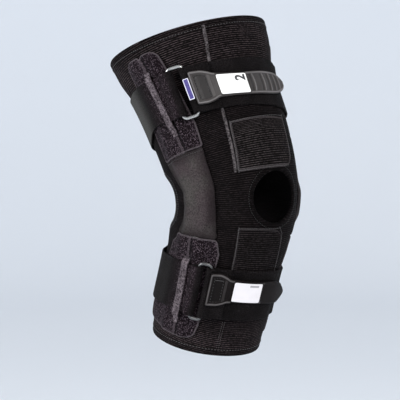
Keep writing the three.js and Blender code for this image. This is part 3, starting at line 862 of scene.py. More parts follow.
# Seam tape: a narrow tape of felted grey cloth, sewn over the sleeve's front seam
# from the top hem down beside the upper flap, and passing under the upper strap.
TAPE = 0.5
SEAM = [(0.154, 44.6, 47.3), (0.449, 41, 43.8), (0.753, 38, 40.6), (0.949, 35, 37.6)]


def tape_cloth(name, dark, light, scale):
    """Woven tape with a felted surface of short light fibres, and painted shade along its edges."""
    material, tree, shader, place, border = fabric(name, 0.88, 0.0)
    where = place_on_object(tree)
    fine = cloudy(tree, where, scale, 3.0)
    coarse = cloudy(tree, where, scale / 6, 1.0)
    # The last term is painted shade along the tape's edges.
    mixed = times(
        tree, spread(tree, fine, 0.36, 0.62, 0.1, 1.0), spread(tree, coarse, 0.3, 0.65, 0.55, 1.0),
        spread(tree, border, 0.0, 0.6, 0.45, 1.0),
    )
    give(tree, shader.inputs["Base Color"], blend_colours(tree, mixed, dark, light))
    raise_surface(tree, shader, fine, 0.6, 0.35)
    return material


seam_weave = tape_cloth("seam_tape_weave", (0.006, 0.005, 0.005, 1), (0.108, 0.096, 0.099, 1), 560.0)
seam = patch("front_seam_tape_cloth", SEAM, level(LAYER_GAP), TAPE, (6, 90), seam_weave, corners=(0.8,) * 4)
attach(seam, "root")
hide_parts("front_seam_tape")


# Hinge bars: flat steel bars with a thicker head at the knee, hidden inside
# their pockets, one on each side of the leg.
BAR_THICKNESS = 2.5
BAR_HALF_WIDTH = 7.5
BAR_HEAD_THICKNESS = 4.5
BAR_HEAD_HALF_WIDTH = 9.5
# The arms are straight, so the joint sits forward of the bent leg's own line.
HINGE_LINE = smooth_line(
    [-0.5 * CALF_LENGTH, -0.3 * CALF_LENGTH, 0.03 * THIGH_LENGTH, 0.33 * THIGH_LENGTH, 0.5 * THIGH_LENGTH],
    [88, 88, 80.5, 88, 88],
)


def steel_material(name, roughness, colour):
    """Metal with fine drawn lines and duller clouds."""
    material, tree, shader = new_material(name)
    where = place_on_object(tree)
    drawn = put(tree, "ShaderNodeMapping", {"Vector": where, "Scale": (900.0, 900.0, 60.0)})
    lines = cloudy(tree, drawn.outputs["Vector"], 1.0, 2.0)
    clouds = cloudy(tree, where, 45.0, 2.0)
    rough = spread(tree, lines, 0.3, 0.7, roughness * 0.75, roughness * 1.35)
    give(tree, shader.inputs["Roughness"], rough)
    dull = tuple(part * 0.72 for part in colour)
    tone = blend_colours(tree, spread(tree, clouds, 0.35, 0.7), (*colour, 1), (*dull, 1))
    give(tree, shader.inputs["Base Color"], tone)
    give(tree, shader.inputs["Metallic"], 1.0)
    raise_surface(tree, shader, lines, 0.12, 0.05)
    return material


bar_steel = steel_material("bar_steel", 0.38, (0.46, 0.46, 0.445))
for side in ("lateral", "medial"):
    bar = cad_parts[f"{side}_hinge_bar"]
    bar.data.materials.clear()
    bar.data.materials.append(bar_steel)


# Hinge pockets: thick loop cloth sewn on above and below the knee on each side.
# Each lies flat on the sleeve at its edges, rises over its bar and has a groove
# along the middle where its two halves meet.
POCKET_CLOTH = 1.4
POCKET_CREST = 9
POCKET_SLOPE = 10
# A place on the inner side and its mirror image on the outer side add up to this angle.
MEDIAL_SUM = 378


def over_bar(crest, slope, head=False):
    """The rise of cloth over a bar: high for crest degrees to each side, then down within slope degrees."""
    def rise(angle, height):
        share = np.zeros_like(angle)
        if head:
            share = 1 - ease(np.abs(height) / BAR_HEAD_HALF_WIDTH, 0.85, 2.15)
        wider = share * (BAR_HEAD_HALF_WIDTH - BAR_HALF_WIDTH)
        reach = crest + np.degrees(wider / half_size["front"](height))
        away = np.abs(angle - HINGE_LINE(np.clip(height, -0.5 * CALF_LENGTH, 0.5 * THIGH_LENGTH)))
        lift = 1 - ease((away - reach) / slope, 0, 1)
        thickness = BAR_THICKNESS + share * (BAR_HEAD_THICKNESS - BAR_THICKNESS)
        return LAYER_GAP + lift * (thickness + LAYER_GAP)
    return rise


FOLD_ROWS = {"upper": [(0.306, 82.6), (0.9, 89.0)], "lower": [(-0.9, 83.4), (-0.179, 86.0)]}
FOLD_PLACES = {part: [(height_at(share), angle) for share, angle in rows] for part, rows in FOLD_ROWS.items()}
PILE = 0.1
FOLD_RISE = 0.15
FOLD_HALF_WIDTH = 1.3
GROOVE_DEPTH = 0.8
GROOVE_HALF_WIDTH = 1.0
GROOVE_PLACE = 2.6
NOTCH_DEPTH = 3.2
NOTCH_HALF_WIDTH = 1.8
NOTCH_REACH = 14


def off_fold(angle, height):
    """Millimetres behind the line where a pocket's two halves meet."""
    upper, lower = (np.interp(height, *zip(*FOLD_PLACES[part])) for part in ("upper", "lower"))
    return (angle - np.where(height > 0, upper, lower)) * per_degree(angle, height)


def grooved(angle, height):
    """The wall of a pocket, thicker at the fold and thinner in the groove beside it."""
    away = off_fold(angle, height)
    fold = FOLD_RISE * np.exp(-(away / FOLD_HALF_WIDTH) ** 2)
    groove = GROOVE_DEPTH * np.exp(-((away + GROOVE_PLACE) / GROOVE_HALF_WIDTH) ** 2)
    return POCKET_CLOTH + PILE + fold - groove


def notched_top(angle, height):
    """The upper pocket's top edge dips where its two halves meet."""
    high = table_ends(POCKET_UPPER)[1]
    notch = np.exp(-(off_fold(angle, height) / NOTCH_HALF_WIDTH) ** 2)
    return height - NOTCH_DEPTH * notch * ease(height, high - NOTCH_REACH, high)


POCKET_UPPER = [
    (0.306, 66.5, 109.5), (0.438, 66, 111), (0.618, 69, 110), (0.787, 72, 107), (0.86, 73.5, 105),
    (0.888, 76, 103), (0.902, 80, 99),
]
POCKET_LOWER = [
    (-0.9, 76, 136), (-0.886, 67, 139), (-0.85, 62.5, 139), (-0.78, 60.5, 136), (-0.69, 60, 129),
    (-0.386, 57, 117), (-0.262, 56, 112), (-0.217, 58.5, 106), (-0.179, 60.5, 106.5),
]

# Loops of yarn that catch the light, thicker in some places than in others.
loop_pile, given, made = effect(
    "loop_pile",
    [("Place", "Vector", None), ("Loop size", "Float", 1.0)],
    [("Specks", "Float"), ("Height", "Float"), ("Clouds", "Float")],
)
scale = calc(loop_pile, "DIVIDE", 1000.0, given.outputs["Loop size"])
where = given.outputs["Place"]
cells = put(loop_pile, "ShaderNodeTexVoronoi", {"Vector": where, "Scale": scale, "Randomness": 1.0})
small = cloudy(loop_pile, where, times(loop_pile, scale, 0.55), 2.0)
wide = cloudy(loop_pile, where, times(loop_pile, scale, 0.12), 1.0)
near = spread(loop_pile, cells.outputs["Distance"], 0.05, 0.55, 1.0, 0.0)
specks = times(loop_pile, near, spread(loop_pile, small, 0.42, 0.60))
for label, value in (("Specks", specks), ("Height", calc(loop_pile, "ADD", near, small)), ("Clouds", wide)):
    give(loop_pile, made.inputs[label], value)


def loop_cloth(name, dark, light, fold):
    """Loop cloth with a painted highlight along its fold, painted shade in the groove beside it and a bound
    edge.
    """
    material, tree, shader, place, border = fabric(name, 0.9, 0.03, (1.0, 0.93, 1.0, 1))
    pile = use_effect(tree, loop_pile, Place=place_on_object(tree), Loop_size=1.05)
    lit = times(tree, pile["Specks"], spread(tree, pile["Clouds"], 0.3, 0.7, 0.7, 1.2))
    base = blend_colours(tree, lit, dark, light)
    (low, first), (high, last) = fold
    slope = math.radians(last - first) * MAP_RADIUS / (high - low)
    start = math.radians(first) * MAP_RADIUS - slope * low
    split = put(tree, "ShaderNodeSeparateXYZ", {"Vector": place})
    line = calc(tree, "MULTIPLY_ADD", split.outputs["Y"], slope, start)
    away = calc(tree, "SUBTRACT", split.outputs["X"], line)
    # A painted highlight along the crest of the fold.
    ridge = spread(tree, calc(tree, "ABSOLUTE", away), 0.7, 1.7, 0.55, 0.0)
    base = blend_colours(tree, ridge, base, (0.062, 0.050, 0.056, 1))
    # Painted shade in the groove beside the fold.
    off_groove = calc(tree, "ABSOLUTE", calc(tree, "ADD", away, GROOVE_PLACE))
    groove = spread(tree, off_groove, 0.5, 1.3, 0.85, 0.0)
    base = blend_colours(tree, groove, base, (0.002, 0.0015, 0.0018, 1))
    outside = calc(tree, "GREATER_THAN", border, INNER_FACE / 2)
    bound = times(tree, calc(tree, "LESS_THAN", border, 0.9), outside, 0.6)
    give(tree, shader.inputs["Base Color"], blend_colours(tree, bound, base, (0.080, 0.068, 0.073, 1)))
    raise_surface(tree, shader, pile["Height"], 1.0, 0.8)
    return material


pocket_loops = {
    part: loop_cloth(f"pocket_loops_{part}", (0.0045, 0.0026, 0.0036, 1), (0.19, 0.143, 0.170, 1), fold)
    for part, fold in FOLD_PLACES.items()
}
SIDES = (("lateral", same_place), ("medial", lambda angle: MEDIAL_SUM - angle))
for side, place in SIDES:
    for part, rows, corners, warp, flat in (
        ("upper", POCKET_UPPER, (2, 5, 2, 5), notched_top, (0.057, 0.106)),
        ("lower", POCKET_LOWER, (5, 3, 5, 3), None, (0.071, 0.109)),
    ):
        pocket = patch(
            f"{side}_pocket_{part}_cloth", rows, over_bar(POCKET_CREST, POCKET_SLOPE), grooved, (64, 84),
            pocket_loops[part], corners, place, warp,
        )
        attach(pocket, "root")
        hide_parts(f"{side}_pocket_{part}")


# Hinge covers: smooth stretch cloth over the joint of each bar, turned under
# and topstitched where it meets the upper pocket.
COVER_CLOTH = 1.6
COVER_CREST = 7.5
COVER_SLOPE = 8
COVER = [
    (-0.1761, 60.5, 106), (-0.13, 63.5, 102), (-0.06, 65, 98), (0.03, 65.4, 95), (0.104, 65.5, 96.5),
    (0.17, 66.6, 102), (0.235, 67.6, 106), (0.3025, 67.2, 108.5),
]


def cover_cloth(name):
    """Smooth cloth with a fine grain, with painted shade that darkens it towards its edges, and flat where it
    is turned under.
    """
    material, tree, shader, place, border = fabric(name, 0.8, 0.02)
    where = place_on_object(tree)
    grain = cloudy(tree, where, 800.0, 3.0)
    cloud = cloudy(tree, where, 42.0, 2.0)
    # The border term paints shade towards the edges, so the cover looks padded.
    mixed = times(
        tree, spread(tree, grain, 0.3, 0.7, 0.2, 0.9), spread(tree, cloud, 0.25, 0.75, 0.6, 1.1),
        spread(tree, border, 0.0, 11.0, 0.22, 1.0),
    )
    shift = spread(tree, cloud, 0.4, 0.6)
    tone = blend_colours(tree, shift, (0.068, 0.053, 0.056, 1), (0.064, 0.059, 0.055, 1))
    base = blend_colours(tree, mixed, (0.0065, 0.0048, 0.0052, 1), tone)
    give(tree, shader.inputs["Base Color"], base)
    turned = times(tree, spread(tree, border, 3.2, 4.0, 1.0, 0.0), 0.5)
    raise_surface(tree, shader, calc(tree, "ADD", times(tree, grain, 0.4), turned), 0.6, 0.4)
    return material


def cover_top(angle, height):
    """The rise of the stitches on a cover."""
    return cover_rise(angle, height) + COVER_CLOTH + THREAD_RISE


cover_stretch = cover_cloth("cover_stretch_cloth")
cover_rise = over_bar(COVER_CREST, COVER_SLOPE, head=True)
for side, place in SIDES:
    cover = patch(
        f"{side}_hinge_cover_cloth", COVER, cover_rise, COVER_CLOTH, (48, 64), cover_stretch,
        (4, 1, 4, 1), place,
    )
    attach(cover, "root")
    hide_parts(f"{side}_hinge_cover")
    sew(f"{side}_cover_stitches", [end_line(COVER, True, 2.6, cover_top, place)],
        pitch=2.3, length=1.6, width=0.5, thread=black_thread)


# Straps: black elastic webbing. Each starts as a loop sewn round the back bar
# of its ring, goes over the pocket and round the back, over the inner pocket
# and the front, turns round the ring's front bar and folds back under the tab.
STRAP = 1.8
WIRE = 1.7
WIRE_GAP = 0.8
POCKET_RISE = 2 * LAYER_GAP + BAR_THICKNESS + POCKET_CLOTH + LAYER_GAP
LOOP_RADIUS = WIRE + WIRE_GAP + STRAP / 2
LOOP_SLOPE = 3.5
STRAP_STEP = 10.5
ON_SLEEVE = 0.17
UPPER_STRAP = {
    # degrees round the leg, lower and upper edge as shares of the length
    "edges": [
        (0, 0.446, 0.731), (40, 0.472, 0.742), (61, 0.483, 0.746), (75, 0.487, 0.75),
        (100, 0.506, 0.758), (125, 0.466, 0.756), (140, 0.455, 0.756), (200, 0.455, 0.753),
        (320, 0.43, 0.727), (360, 0.446, 0.731),
    ],
    "length": THIGH_LENGTH,
    "radius": LIMB["thigh"][1] * 0.45,
    "ring": (60, 71),
    "stitched_end": 77.5,
    # strength of the grey sheen painted on the strap's outer side
    "painted_sheen_strength": 0.8,
    "back_rise": 0.84,
    "front_rise": ON_SLEEVE,
    # degrees round the leg, rise as a share of the pocket's
    "over": [
        (77.5, 1.5), (79.5, 1.19), (82, 1), (90, 1), (97, 1), (101, 0.88), (105, 0.7), (110, 0.6),
        (115, 0.45), (121, 0.28), (128, ON_SLEEVE), (255, ON_SLEEVE), (261, 0.27), (268, 0.51),
        (274, 0.74), (278, 0.93), (281, 1), (290, 1), (299, 1), (303, 0.91), (308, 0.67), (314, 0.48),
        (322, ON_SLEEVE), (388, ON_SLEEVE), (395, 0.23), (406, 0.23), (413, ON_SLEEVE),
    ],
    # the same, from the ring's front bar back under the tab
    "return": [(57, 1.07), (54, 0.76), (51, 0.61), (42, 0.61)],
}
LOWER_STRAP = {
    "edges": [
        (0, -0.683, -0.328), (45, -0.69, -0.333), (56, -0.702, -0.338), (73, -0.703, -0.341),
        (80, -0.705, -0.36), (94, -0.717, -0.366), (139, -0.772, -0.421), (180, -0.779, -0.428),
        (225, -0.772, -0.421), (325, -0.7, -0.352), (360, -0.683, -0.328),
    ],
    "length": CALF_LENGTH,
    "radius": LIMB["calf"][1] * 0.535,
    "ring": (59.5, 70),
    "stitched_end": 75.5,
    # strength of the grey sheen painted on the strap's outer side
    "painted_sheen_strength": 0.08,
    "back_rise": 0.84,
    "front_rise": 0.46,
    "over": [
        (75.5, 1.5), (77.5, 1.19), (79.5, 1), (90, 1), (98, 1), (102, 0.88), (107, 0.65), (114, 0.44),
        (122, 0.46), (140, 0.46), (149, ON_SLEEVE), (229, ON_SLEEVE), (237, 0.46), (255, 0.46),
        (264, 0.46), (272, 0.65), (278, 0.88), (281, 1), (290, 1), (299, 1), (303, 0.88), (308, 0.61),
        (314, 0.46), (322, 0.46), (330, ON_SLEEVE), (339, ON_SLEEVE), (345, 0.46), (413, 0.46),
    ],
    "return": [(56, 1.31), (53, 1.03), (50, 0.95), (42, 0.95)],
}


def smooth_column(rows, scale=1, column=1):
    """A smooth line through one column of a table, times a scale."""
    return smooth_line([row[0] for row in rows], [row[column] * scale for row in rows])


def strap_edge(strap, angle, column):
    """The height of a strap's lower (1) or upper (2) edge round the leg."""
    return smooth_column(strap["edges"], strap["length"], column)(np.asarray(angle) % 360)


def middle_rise(rise):
    """How far off the sleeve the middle of a strap lies, in mm."""
    return rise * POCKET_RISE + STRAP / 2


def strap_line(strap):
    """The middle line of a strap in its own flat plane: mm along the girth, mm out."""
    def girth(angle):
        return math.radians(angle) * strap["radius"]

    def turn(angle, rise, start, end):
        ts = [math.radians(start + (end - start) * k / 6) for k in range(7)]
        centre = middle_rise(rise) + LOOP_RADIUS
        return [(girth(angle) + LOOP_RADIUS * math.cos(t), centre + LOOP_RADIUS * math.sin(t)) for t in ts]

    ring_front, ring_back = strap["ring"]
    beside = ring_back + LOOP_SLOPE
    line = [
        (girth(strap["stitched_end"]), middle_rise(1)),
        (girth(beside), middle_rise(strap["back_rise"]) + STRAP * 0.28),
        *turn(ring_back, strap["back_rise"], 270, 90),
        (girth(beside), middle_rise(strap["back_rise"]) + 2 * LOOP_RADIUS - STRAP / 2),
    ]
    first_angle, first_rise = strap["over"][0]
    line.append((girth(first_angle), middle_rise(first_rise)))
    for (angle0, rise0), (angle1, rise1) in zip(strap["over"], strap["over"][1:]):
        steps = math.ceil((angle1 - angle0) / STRAP_STEP)
        for k in range(1, steps + 1):
            t = k / steps
            line.append((girth(angle0 + (angle1 - angle0) * t), middle_rise(rise0 + (rise1 - rise0) * t)))
    line += turn(ring_front + 360, strap["front_rise"], -90, 90)
    line += [(girth(360 + angle), middle_rise(rise)) for angle, rise in strap["return"]]
    return np.array(line)


def smooth_path(points, step):
    """A smooth curve through 2D points, resampled every step mm."""
    p = np.concatenate([[2 * points[0] - points[1]], points, [2 * points[-1] - points[-2]]])
    made = []
    for i in range(1, len(p) - 2):
        t0, t1 = 0.0, np.linalg.norm(p[i] - p[i - 1]) ** 0.5
        t2 = t1 + np.linalg.norm(p[i + 1] - p[i]) ** 0.5
        t3 = t2 + np.linalg.norm(p[i + 2] - p[i + 1]) ** 0.5
        for t in np.linspace(t1, t2, 9)[:-1]:
            a1 = (t1 - t) / (t1 - t0) * p[i - 1] + (t - t0) / (t1 - t0) * p[i]
            a2 = (t2 - t) / (t2 - t1) * p[i] + (t - t1) / (t2 - t1) * p[i + 1]
            a3 = (t3 - t) / (t3 - t2) * p[i + 1] + (t - t2) / (t3 - t2) * p[i + 2]
            b1 = (t2 - t) / (t2 - t0) * a1 + (t - t0) / (t2 - t0) * a2
            b2 = (t3 - t) / (t3 - t1) * a2 + (t - t1) / (t3 - t1) * a3
            made.append((t2 - t) / (t2 - t1) * b1 + (t - t1) / (t2 - t1) * b2)
    made.append(p[-2])
    made = np.array(made)
    along = np.concatenate([[0], np.cumsum(np.linalg.norm(np.diff(made, axis=0), axis=1))])
    places = np.linspace(0, along[-1], int(along[-1] / step) + 1)
    return np.stack([np.interp(places, along, made[:, k]) for k in (0, 1)], -1), places


# Crossing cords of elastic webbing under a thin fuzz.
webbing, given, made = effect(
    "webbing_weave",
    [("Place", "Vector", None), ("Cord width", "Float", 1.1)],
    [("Height", "Float"), ("Fuzz", "Float"), ("Clouds", "Float")],
)
split = put(webbing, "ShaderNodeSeparateXYZ", {"Vector": given.outputs["Place"]})
cord_width = given.outputs["Cord width"]
cords = times(webbing, calc(webbing, "DIVIDE", split.outputs["X"], cord_width), math.pi)
picks = times(webbing, calc(webbing, "DIVIDE", split.outputs["Y"], cord_width), math.pi * 1.4)
weave = calc(webbing, "ABSOLUTE", times(webbing, calc(webbing, "SINE", cords), calc(webbing, "SINE", picks)))
fuzz = cloudy(webbing, given.outputs["Place"], 0.9, 3.0)
clouds = cloudy(webbing, given.outputs["Place"], 0.06, 2.0)
raised = calc(webbing, "ADD", weave, times(webbing, fuzz, 0.8))
for label, value in (("Height", raised), ("Fuzz", fuzz), ("Clouds", clouds)):
    give(webbing, made.inputs[label], value)


def webbing_cloth(name):
    """Black webbing, with a grey sheen painted on where the lamps light it, and with loop pile near its sewn
    end that gives way to painted shade by the ring.
    """
    material, tree, shader, place, border = fabric(name, 0.78, 0.0)
    weave = use_effect(tree, webbing, Place=place)
    fuzz = spread(tree, weave["Fuzz"], 0.38, 0.7)
    mixed = times(tree, fuzz, spread(tree, weave["Clouds"], 0.3, 0.75, 0.35, 1.0))
    base = blend_colours(tree, mixed, (0.0012, 0.0009, 0.0010, 1), (0.019, 0.0160, 0.0165, 1))
    grey = blend_colours(tree, weave["Fuzz"], (0.012, 0.011, 0.011, 1), (0.096, 0.094, 0.088, 1))
    # Painted sheen: a grey that stands in for the light on the strap's outer side.
    base = blend_colours(tree, attribute(tree, "painted_sheen"), base, grey)
    loops = use_effect(tree, loop_pile, Place=place_on_object(tree), Loop_size=0.95)
    # Loop pile where this mask is 1; where it falls to 0 by the ring, the black is painted shade.
    pile_and_ring_shade = attribute(tree, "pile_and_ring_shade")
    pile = blend_colours(tree, loops["Specks"], (0.0045, 0.0026, 0.0034, 1), (0.155, 0.118, 0.138, 1))
    give(tree, shader.inputs["Base Color"], blend_colours(tree, pile_and_ring_shade, base, pile))
    height = calc(tree, "ADD", weave["Height"], times(tree, loops["Height"], pile_and_ring_shade))
    raise_surface(tree, shader, height, 0.7, 0.35)
    return material


strap_webbing = webbing_cloth("strap_webbing")


def strap_surface(strap, share, along, out):
    """A point on a strap: share of its width, girth in mm along its flat plane, and mm off the sleeve."""
    angle = np.degrees(along / strap["radius"])
    low, high = strap_edge(strap, angle, 1), strap_edge(strap, angle, 2)
    return on_leg(angle, low + (high - low) * share, out)


def mark_outer(made, label, values):
    """An attribute with a value for each point of a cloth's outer face, and 0 elsewhere."""
    of_point = np.zeros(len(made.data.vertices), np.float32)
    of_point[:len(values)] = values
    made.data.attributes.new(label, "FLOAT", "POINT").data.foreach_set("value", of_point)


def strap_cloth(name, strap, node):
    """A strap along its middle line, marked where its loop pile and the painted shade by the ring are, and
    where a grey sheen is painted on it.
    """
    path, places = smooth_path(strap_line(strap), 1.6)
    ahead = np.gradient(path, axis=0)
    ahead /= np.linalg.norm(ahead, axis=1)[:, None]
    across = 18
    shares = 0.016 + 0.968 * crowded(across, 0.3)
    faces_of = []
    for sign in (1, -1):
        along = path[:, 0] + sign * STRAP / 2 * ahead[:, 1]
        out = path[:, 1] - sign * STRAP / 2 * ahead[:, 0]
        faces_of.append(strap_surface(strap, shares[None, :], along[:, None], out[:, None]).reshape(-1, 3))
    inner, outer = faces_of
    width = abs(strap["edges"][0][2] - strap["edges"][0][1]) * strap["length"]
    uv = np.stack(np.broadcast_arrays(places[:, None], shares[None, :] * width), -1).reshape(-1, 2)
    edge = np.minimum(uv[:, 1], width - uv[:, 1])
    made = cloth(name, outer, inner, grid_faces(len(path) - 1, across), uv, edge, strap_webbing)
    around = np.repeat(np.degrees(path[:, 0] / strap["radius"]), across + 1)
    end = strap["stitched_end"]
    past_loop = np.repeat(places, across + 1) > 9
    sewn = np.exp(-(((around - end - 1.0) / 0.7) ** 2)) * past_loop
    # Near the ring the pile gives way to black webbing: painted shade where the strap curves round the ring's
    # back bar.
    from_ring = ease(around, strap["ring"][1] - 1, end - 3)
    pile_and_ring_shade = (1 - ease(around, end + 8, end + 24)) * past_loop * (1 - 0.85 * sewn) * from_ring
    mark_outer(made, "pile_and_ring_shade", pile_and_ring_shade)
    # The grey sheen is painted on the strap's outer side, strongest on the upper strap.
    outer_side = ease(around, end + 20, end + 40) * (1 - ease(around, 150, 190))
    mark_outer(made, "painted_sheen", strap["painted_sheen_strength"] * outer_side)
    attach(made, "root")
    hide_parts(node)


strap_cloth("strap_upper_cloth", UPPER_STRAP, "strap_upper")
strap_cloth("strap_lower_cloth", LOWER_STRAP, "strap_lower")


# Keepers: short felted tapes sewn down over each strap along the middle of the
# outer pocket, so that the strap can't slip along the leg.
KEEPER = 0.8
KEEPER_UPPER = [
    # height, front and back edge, over the strap
    (0.405, 81.5, 86, 0), (0.44, 81.5, 86.2, 0), (0.466, 81.5, 86.8, 1), (0.758, 84.5, 90.5, 1),
    (0.781, 85, 90.5, 0), (0.8, 85, 90, 0),
]
KEEPER_LOWER = [
    (-0.807, 81, 86, 0), (-0.766, 80.5, 87, 0), (-0.741, 80, 88, 1), (-0.357, 81.5, 89, 1),
    (-0.336, 81.5, 89.5, 0), (-0.315, 82, 89, 0),
]
keeper_felt = tape_cloth("keeper_felt", (0.006, 0.004, 0.005, 1), (0.125, 0.104, 0.114, 1), 620.0)


def keeper(name, rows, node):
    """A tape that lies on the pocket at both ends and steps up over the strap."""
    over = table_line(rows, 3)

    def rise(angle, height):
        return POCKET_RISE + over(height) * (STRAP + 2 * LAYER_GAP)

    made = patch(name, rows, rise, KEEPER, (10, 110), keeper_felt, corners=(1, 1, 1, 1))
    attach(made, "root")
    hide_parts(node)


keeper("strap_keeper_upper_tape", KEEPER_UPPER, "strap_keeper_upper")
keeper("strap_keeper_lower_tape", KEEPER_LOWER, "strap_keeper_lower")


# Rings: bent nickel plated wire, a long loop with round corners that joins the
# two ends of each strap. The lower one is darker.
RING_CORNER = 4.0
ring_nickel = steel_material("ring_nickel", 0.3, (0.42, 0.42, 0.41))
ring_darker = steel_material("ring_darker_nickel", 0.38, (0.12, 0.12, 0.12))


def tube(name, path, radius, sides, material):
    """A closed round wire along a closed path of points in metres."""
    path = np.asarray(path)
    ahead = unit(np.roll(path, -1, 0) - np.roll(path, 1, 0))
    normal = unit(path - path.mean(0))
    normal = unit(normal - ahead * np.sum(normal * ahead, 1)[:, None])
    side = np.cross(ahead, normal)
    points, faces = [], []
    for k in range(sides):
        t = 2 * math.pi * k / sides
        points.append(path + radius * (math.cos(t) * normal + math.sin(t) * side))
    points = np.stack(points, 1).reshape(-1, 3)
    count = len(path)
    for i in range(count):
        for k in range(sides):
            a, b = i * sides + k, i * sides + (k + 1) % sides
            n = (i + 1) % count * sides
            faces.append((a, n + k, n + (k + 1) % sides, b))
    mesh = bpy.data.meshes.new(name)
    mesh.from_pydata(points.tolist(), [], faces)
    mesh.shade_smooth()
    mesh.materials.append(material)
    return add_object(name, mesh)


def ring(name, strap, node, plating):
    """A long loop of wire whose two long bars lie inside the strap's two loops."""
    front, back = strap["ring"]
    centre = (front + back) / 2
    low, high = (float(strap_edge(strap, centre, c)) for c in (1, 2))
    half_height = (high - low) / 2 + WIRE_GAP + WIRE
    half_width = math.radians(back - front) * strap["radius"] / 2
    outline = []
    for sx, sy, start in ((1, 1, 0), (-1, 1, 90), (-1, -1, 180), (1, -1, 270)):
        for k in range(9):
            t = math.radians(start + k * 90 / 8)
            outline.append((
                sx * (half_width - RING_CORNER) + RING_CORNER * math.cos(t),
                sy * (half_height - RING_CORNER) + RING_CORNER * math.sin(t),
            ))
        if sx * sy < 0:
            straight = half_height - RING_CORNER
            outline += [(sx * half_width, -sx * (1 - 2 * k / 10) * straight) for k in range(1, 10)]
    outline = np.array(outline)
    rises = [r * POCKET_RISE + STRAP + WIRE_GAP + WIRE for r in (strap["front_rise"], strap["back_rise"])]
    angle = centre + np.degrees(outline[:, 0] / strap["radius"])
    share = (outline[:, 0] + half_width) / (2 * half_width)
    path = on_leg(angle, (low + high) / 2 + outline[:, 1], rises[0] + (rises[1] - rises[0]) * share)
    made = tube(name, path, WIRE / 1000, 14, plating)
    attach(made, "root")
    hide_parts(node)


ring("ring_upper_wire", UPPER_STRAP, "ring_upper", ring_nickel)
ring("ring_lower_wire", LOWER_STRAP, "ring_lower", ring_darker)


# Pull tabs: moulded grey plastic sewn to the strap's end through a thin stitched
# window, with raised rounded edges and a finger end that stands off the strap.
# The upper one has cross ribs on its finger end, and the lower one is painted darker, as shade.
TAB = 2.5
TAB_WIDTH = 33
TAB_LENGTH = 98.0
# Shares of the length, each with the width there as a share of the full width.
TAB_EDGE = [
    (0, 0.96), (0.02, 1), (0.08, 1), (0.14, 0.9), (0.2, 0.74), (0.48, 0.68), (0.72, 0.7), (0.84, 0.66),
    (0.92, 0.52), (0.97, 0.33), (1, 0.12),
]
UPPER_TAB = {
    "start": 57, "end": -27, "length": THIGH_LENGTH, "field": (0.2155, 0.494), "pointed": 0,
    "heights": [(0, 0.613), (0.22, 0.597), (0.52, 0.5775), (1, 0.574)],
    "rises": [
        (0, 1.63), (0.03, 1.38), (0.07, 1.15), (0.13, 1.08), (0.2, 0.97), (0.275, 0.65), (0.757, 0.61),
        (0.895, 0.88), (1, 1.33),
    ],
    "ribs": (0.575, 0.7, 0.79, 0.86, 0.925),
}
LOWER_TAB = {
    "start": 57.5, "end": -31, "length": CALF_LENGTH, "field": (0.235, 0.548), "pointed": 0.38,
    "heights": [(0, -0.476), (0.23, -0.464), (0.57, -0.467), (1, -0.505)],
    "rises": [
        (0, 2.1), (0.03, 1.75), (0.07, 1.5), (0.125, 1.41), (0.2, 1.37), (0.27, 1.03), (0.645, 0.93),
        (0.83, 1.1), (1, 1.48),
    ],
    "ribs": (),
}


def on_tab(tab, share, across, out):
    """Points in metres from shares of a tab's length, mm across it and mm off its back."""
    centre = smooth_column(tab["heights"], tab["length"])(share)
    rise = smooth_column(tab["rises"])(share) * POCKET_RISE
    angle = tab["start"] + (tab["end"] - tab["start"]) * share
    return on_leg(angle, centre + across, rise + out)


def tab_half(share):
    """Half the width in mm at a share of the length."""
    return TAB_WIDTH / 2 * smooth_column(TAB_EDGE)(share)


EDGE_RISE = 0.7
WINDOW_DEPTH = 0.7
WINDOW_FRAME = 0.28


def tab_relief(tab, share, across, half):
    """Raised edges, the sewn window and the ribs, in mm off the tab's plain face."""
    from_side = half - np.abs(across)
    along = share * TAB_LENGTH
    border = np.minimum(from_side, np.minimum(share, 1 - share) * TAB_LENGTH)
    relief = EDGE_RISE * (1 - ease(border, 0.8, 2.0))
    window = ease(along, 2.6, 3.4) * (1 - ease(along, 12.6, 13.4)) * ease(from_side, 3.0, 3.8)
    frame_bar = ease(along, 13.0, 13.8) * (1 - ease(along, 15.8, 16.6)) * ease(from_side, 2.0, 2.8)
    relief = relief * (1 - window) - WINDOW_DEPTH * window + WINDOW_FRAME * frame_bar
    low, high = tab["field"]
    in_field = ease(share, low - 0.01, low) * (1 - ease(share, high, high + 0.01))
    relief = relief * (1 - 0.85 * in_field)
    if not tab["ribs"]:
        # A plain finger end has hardly any raised edge.
        relief = relief * (1 - 0.8 * ease(share, high, high + 0.04))
    for at in tab["ribs"]:
        bowed = (share - at + 0.012 * (across / TAB_WIDTH * 4) ** 2) * TAB_LENGTH
        ridge = np.exp(-(bowed / 0.8) ** 2)
        valley = np.exp(-((bowed + 2.6) / 1.7) ** 2) * ease(from_side, 1.4, 2.6)
        relief = relief * (1 - valley) - 0.45 * valley + 0.9 * ridge * ease(from_side, 1.2, 2.4)
    return relief


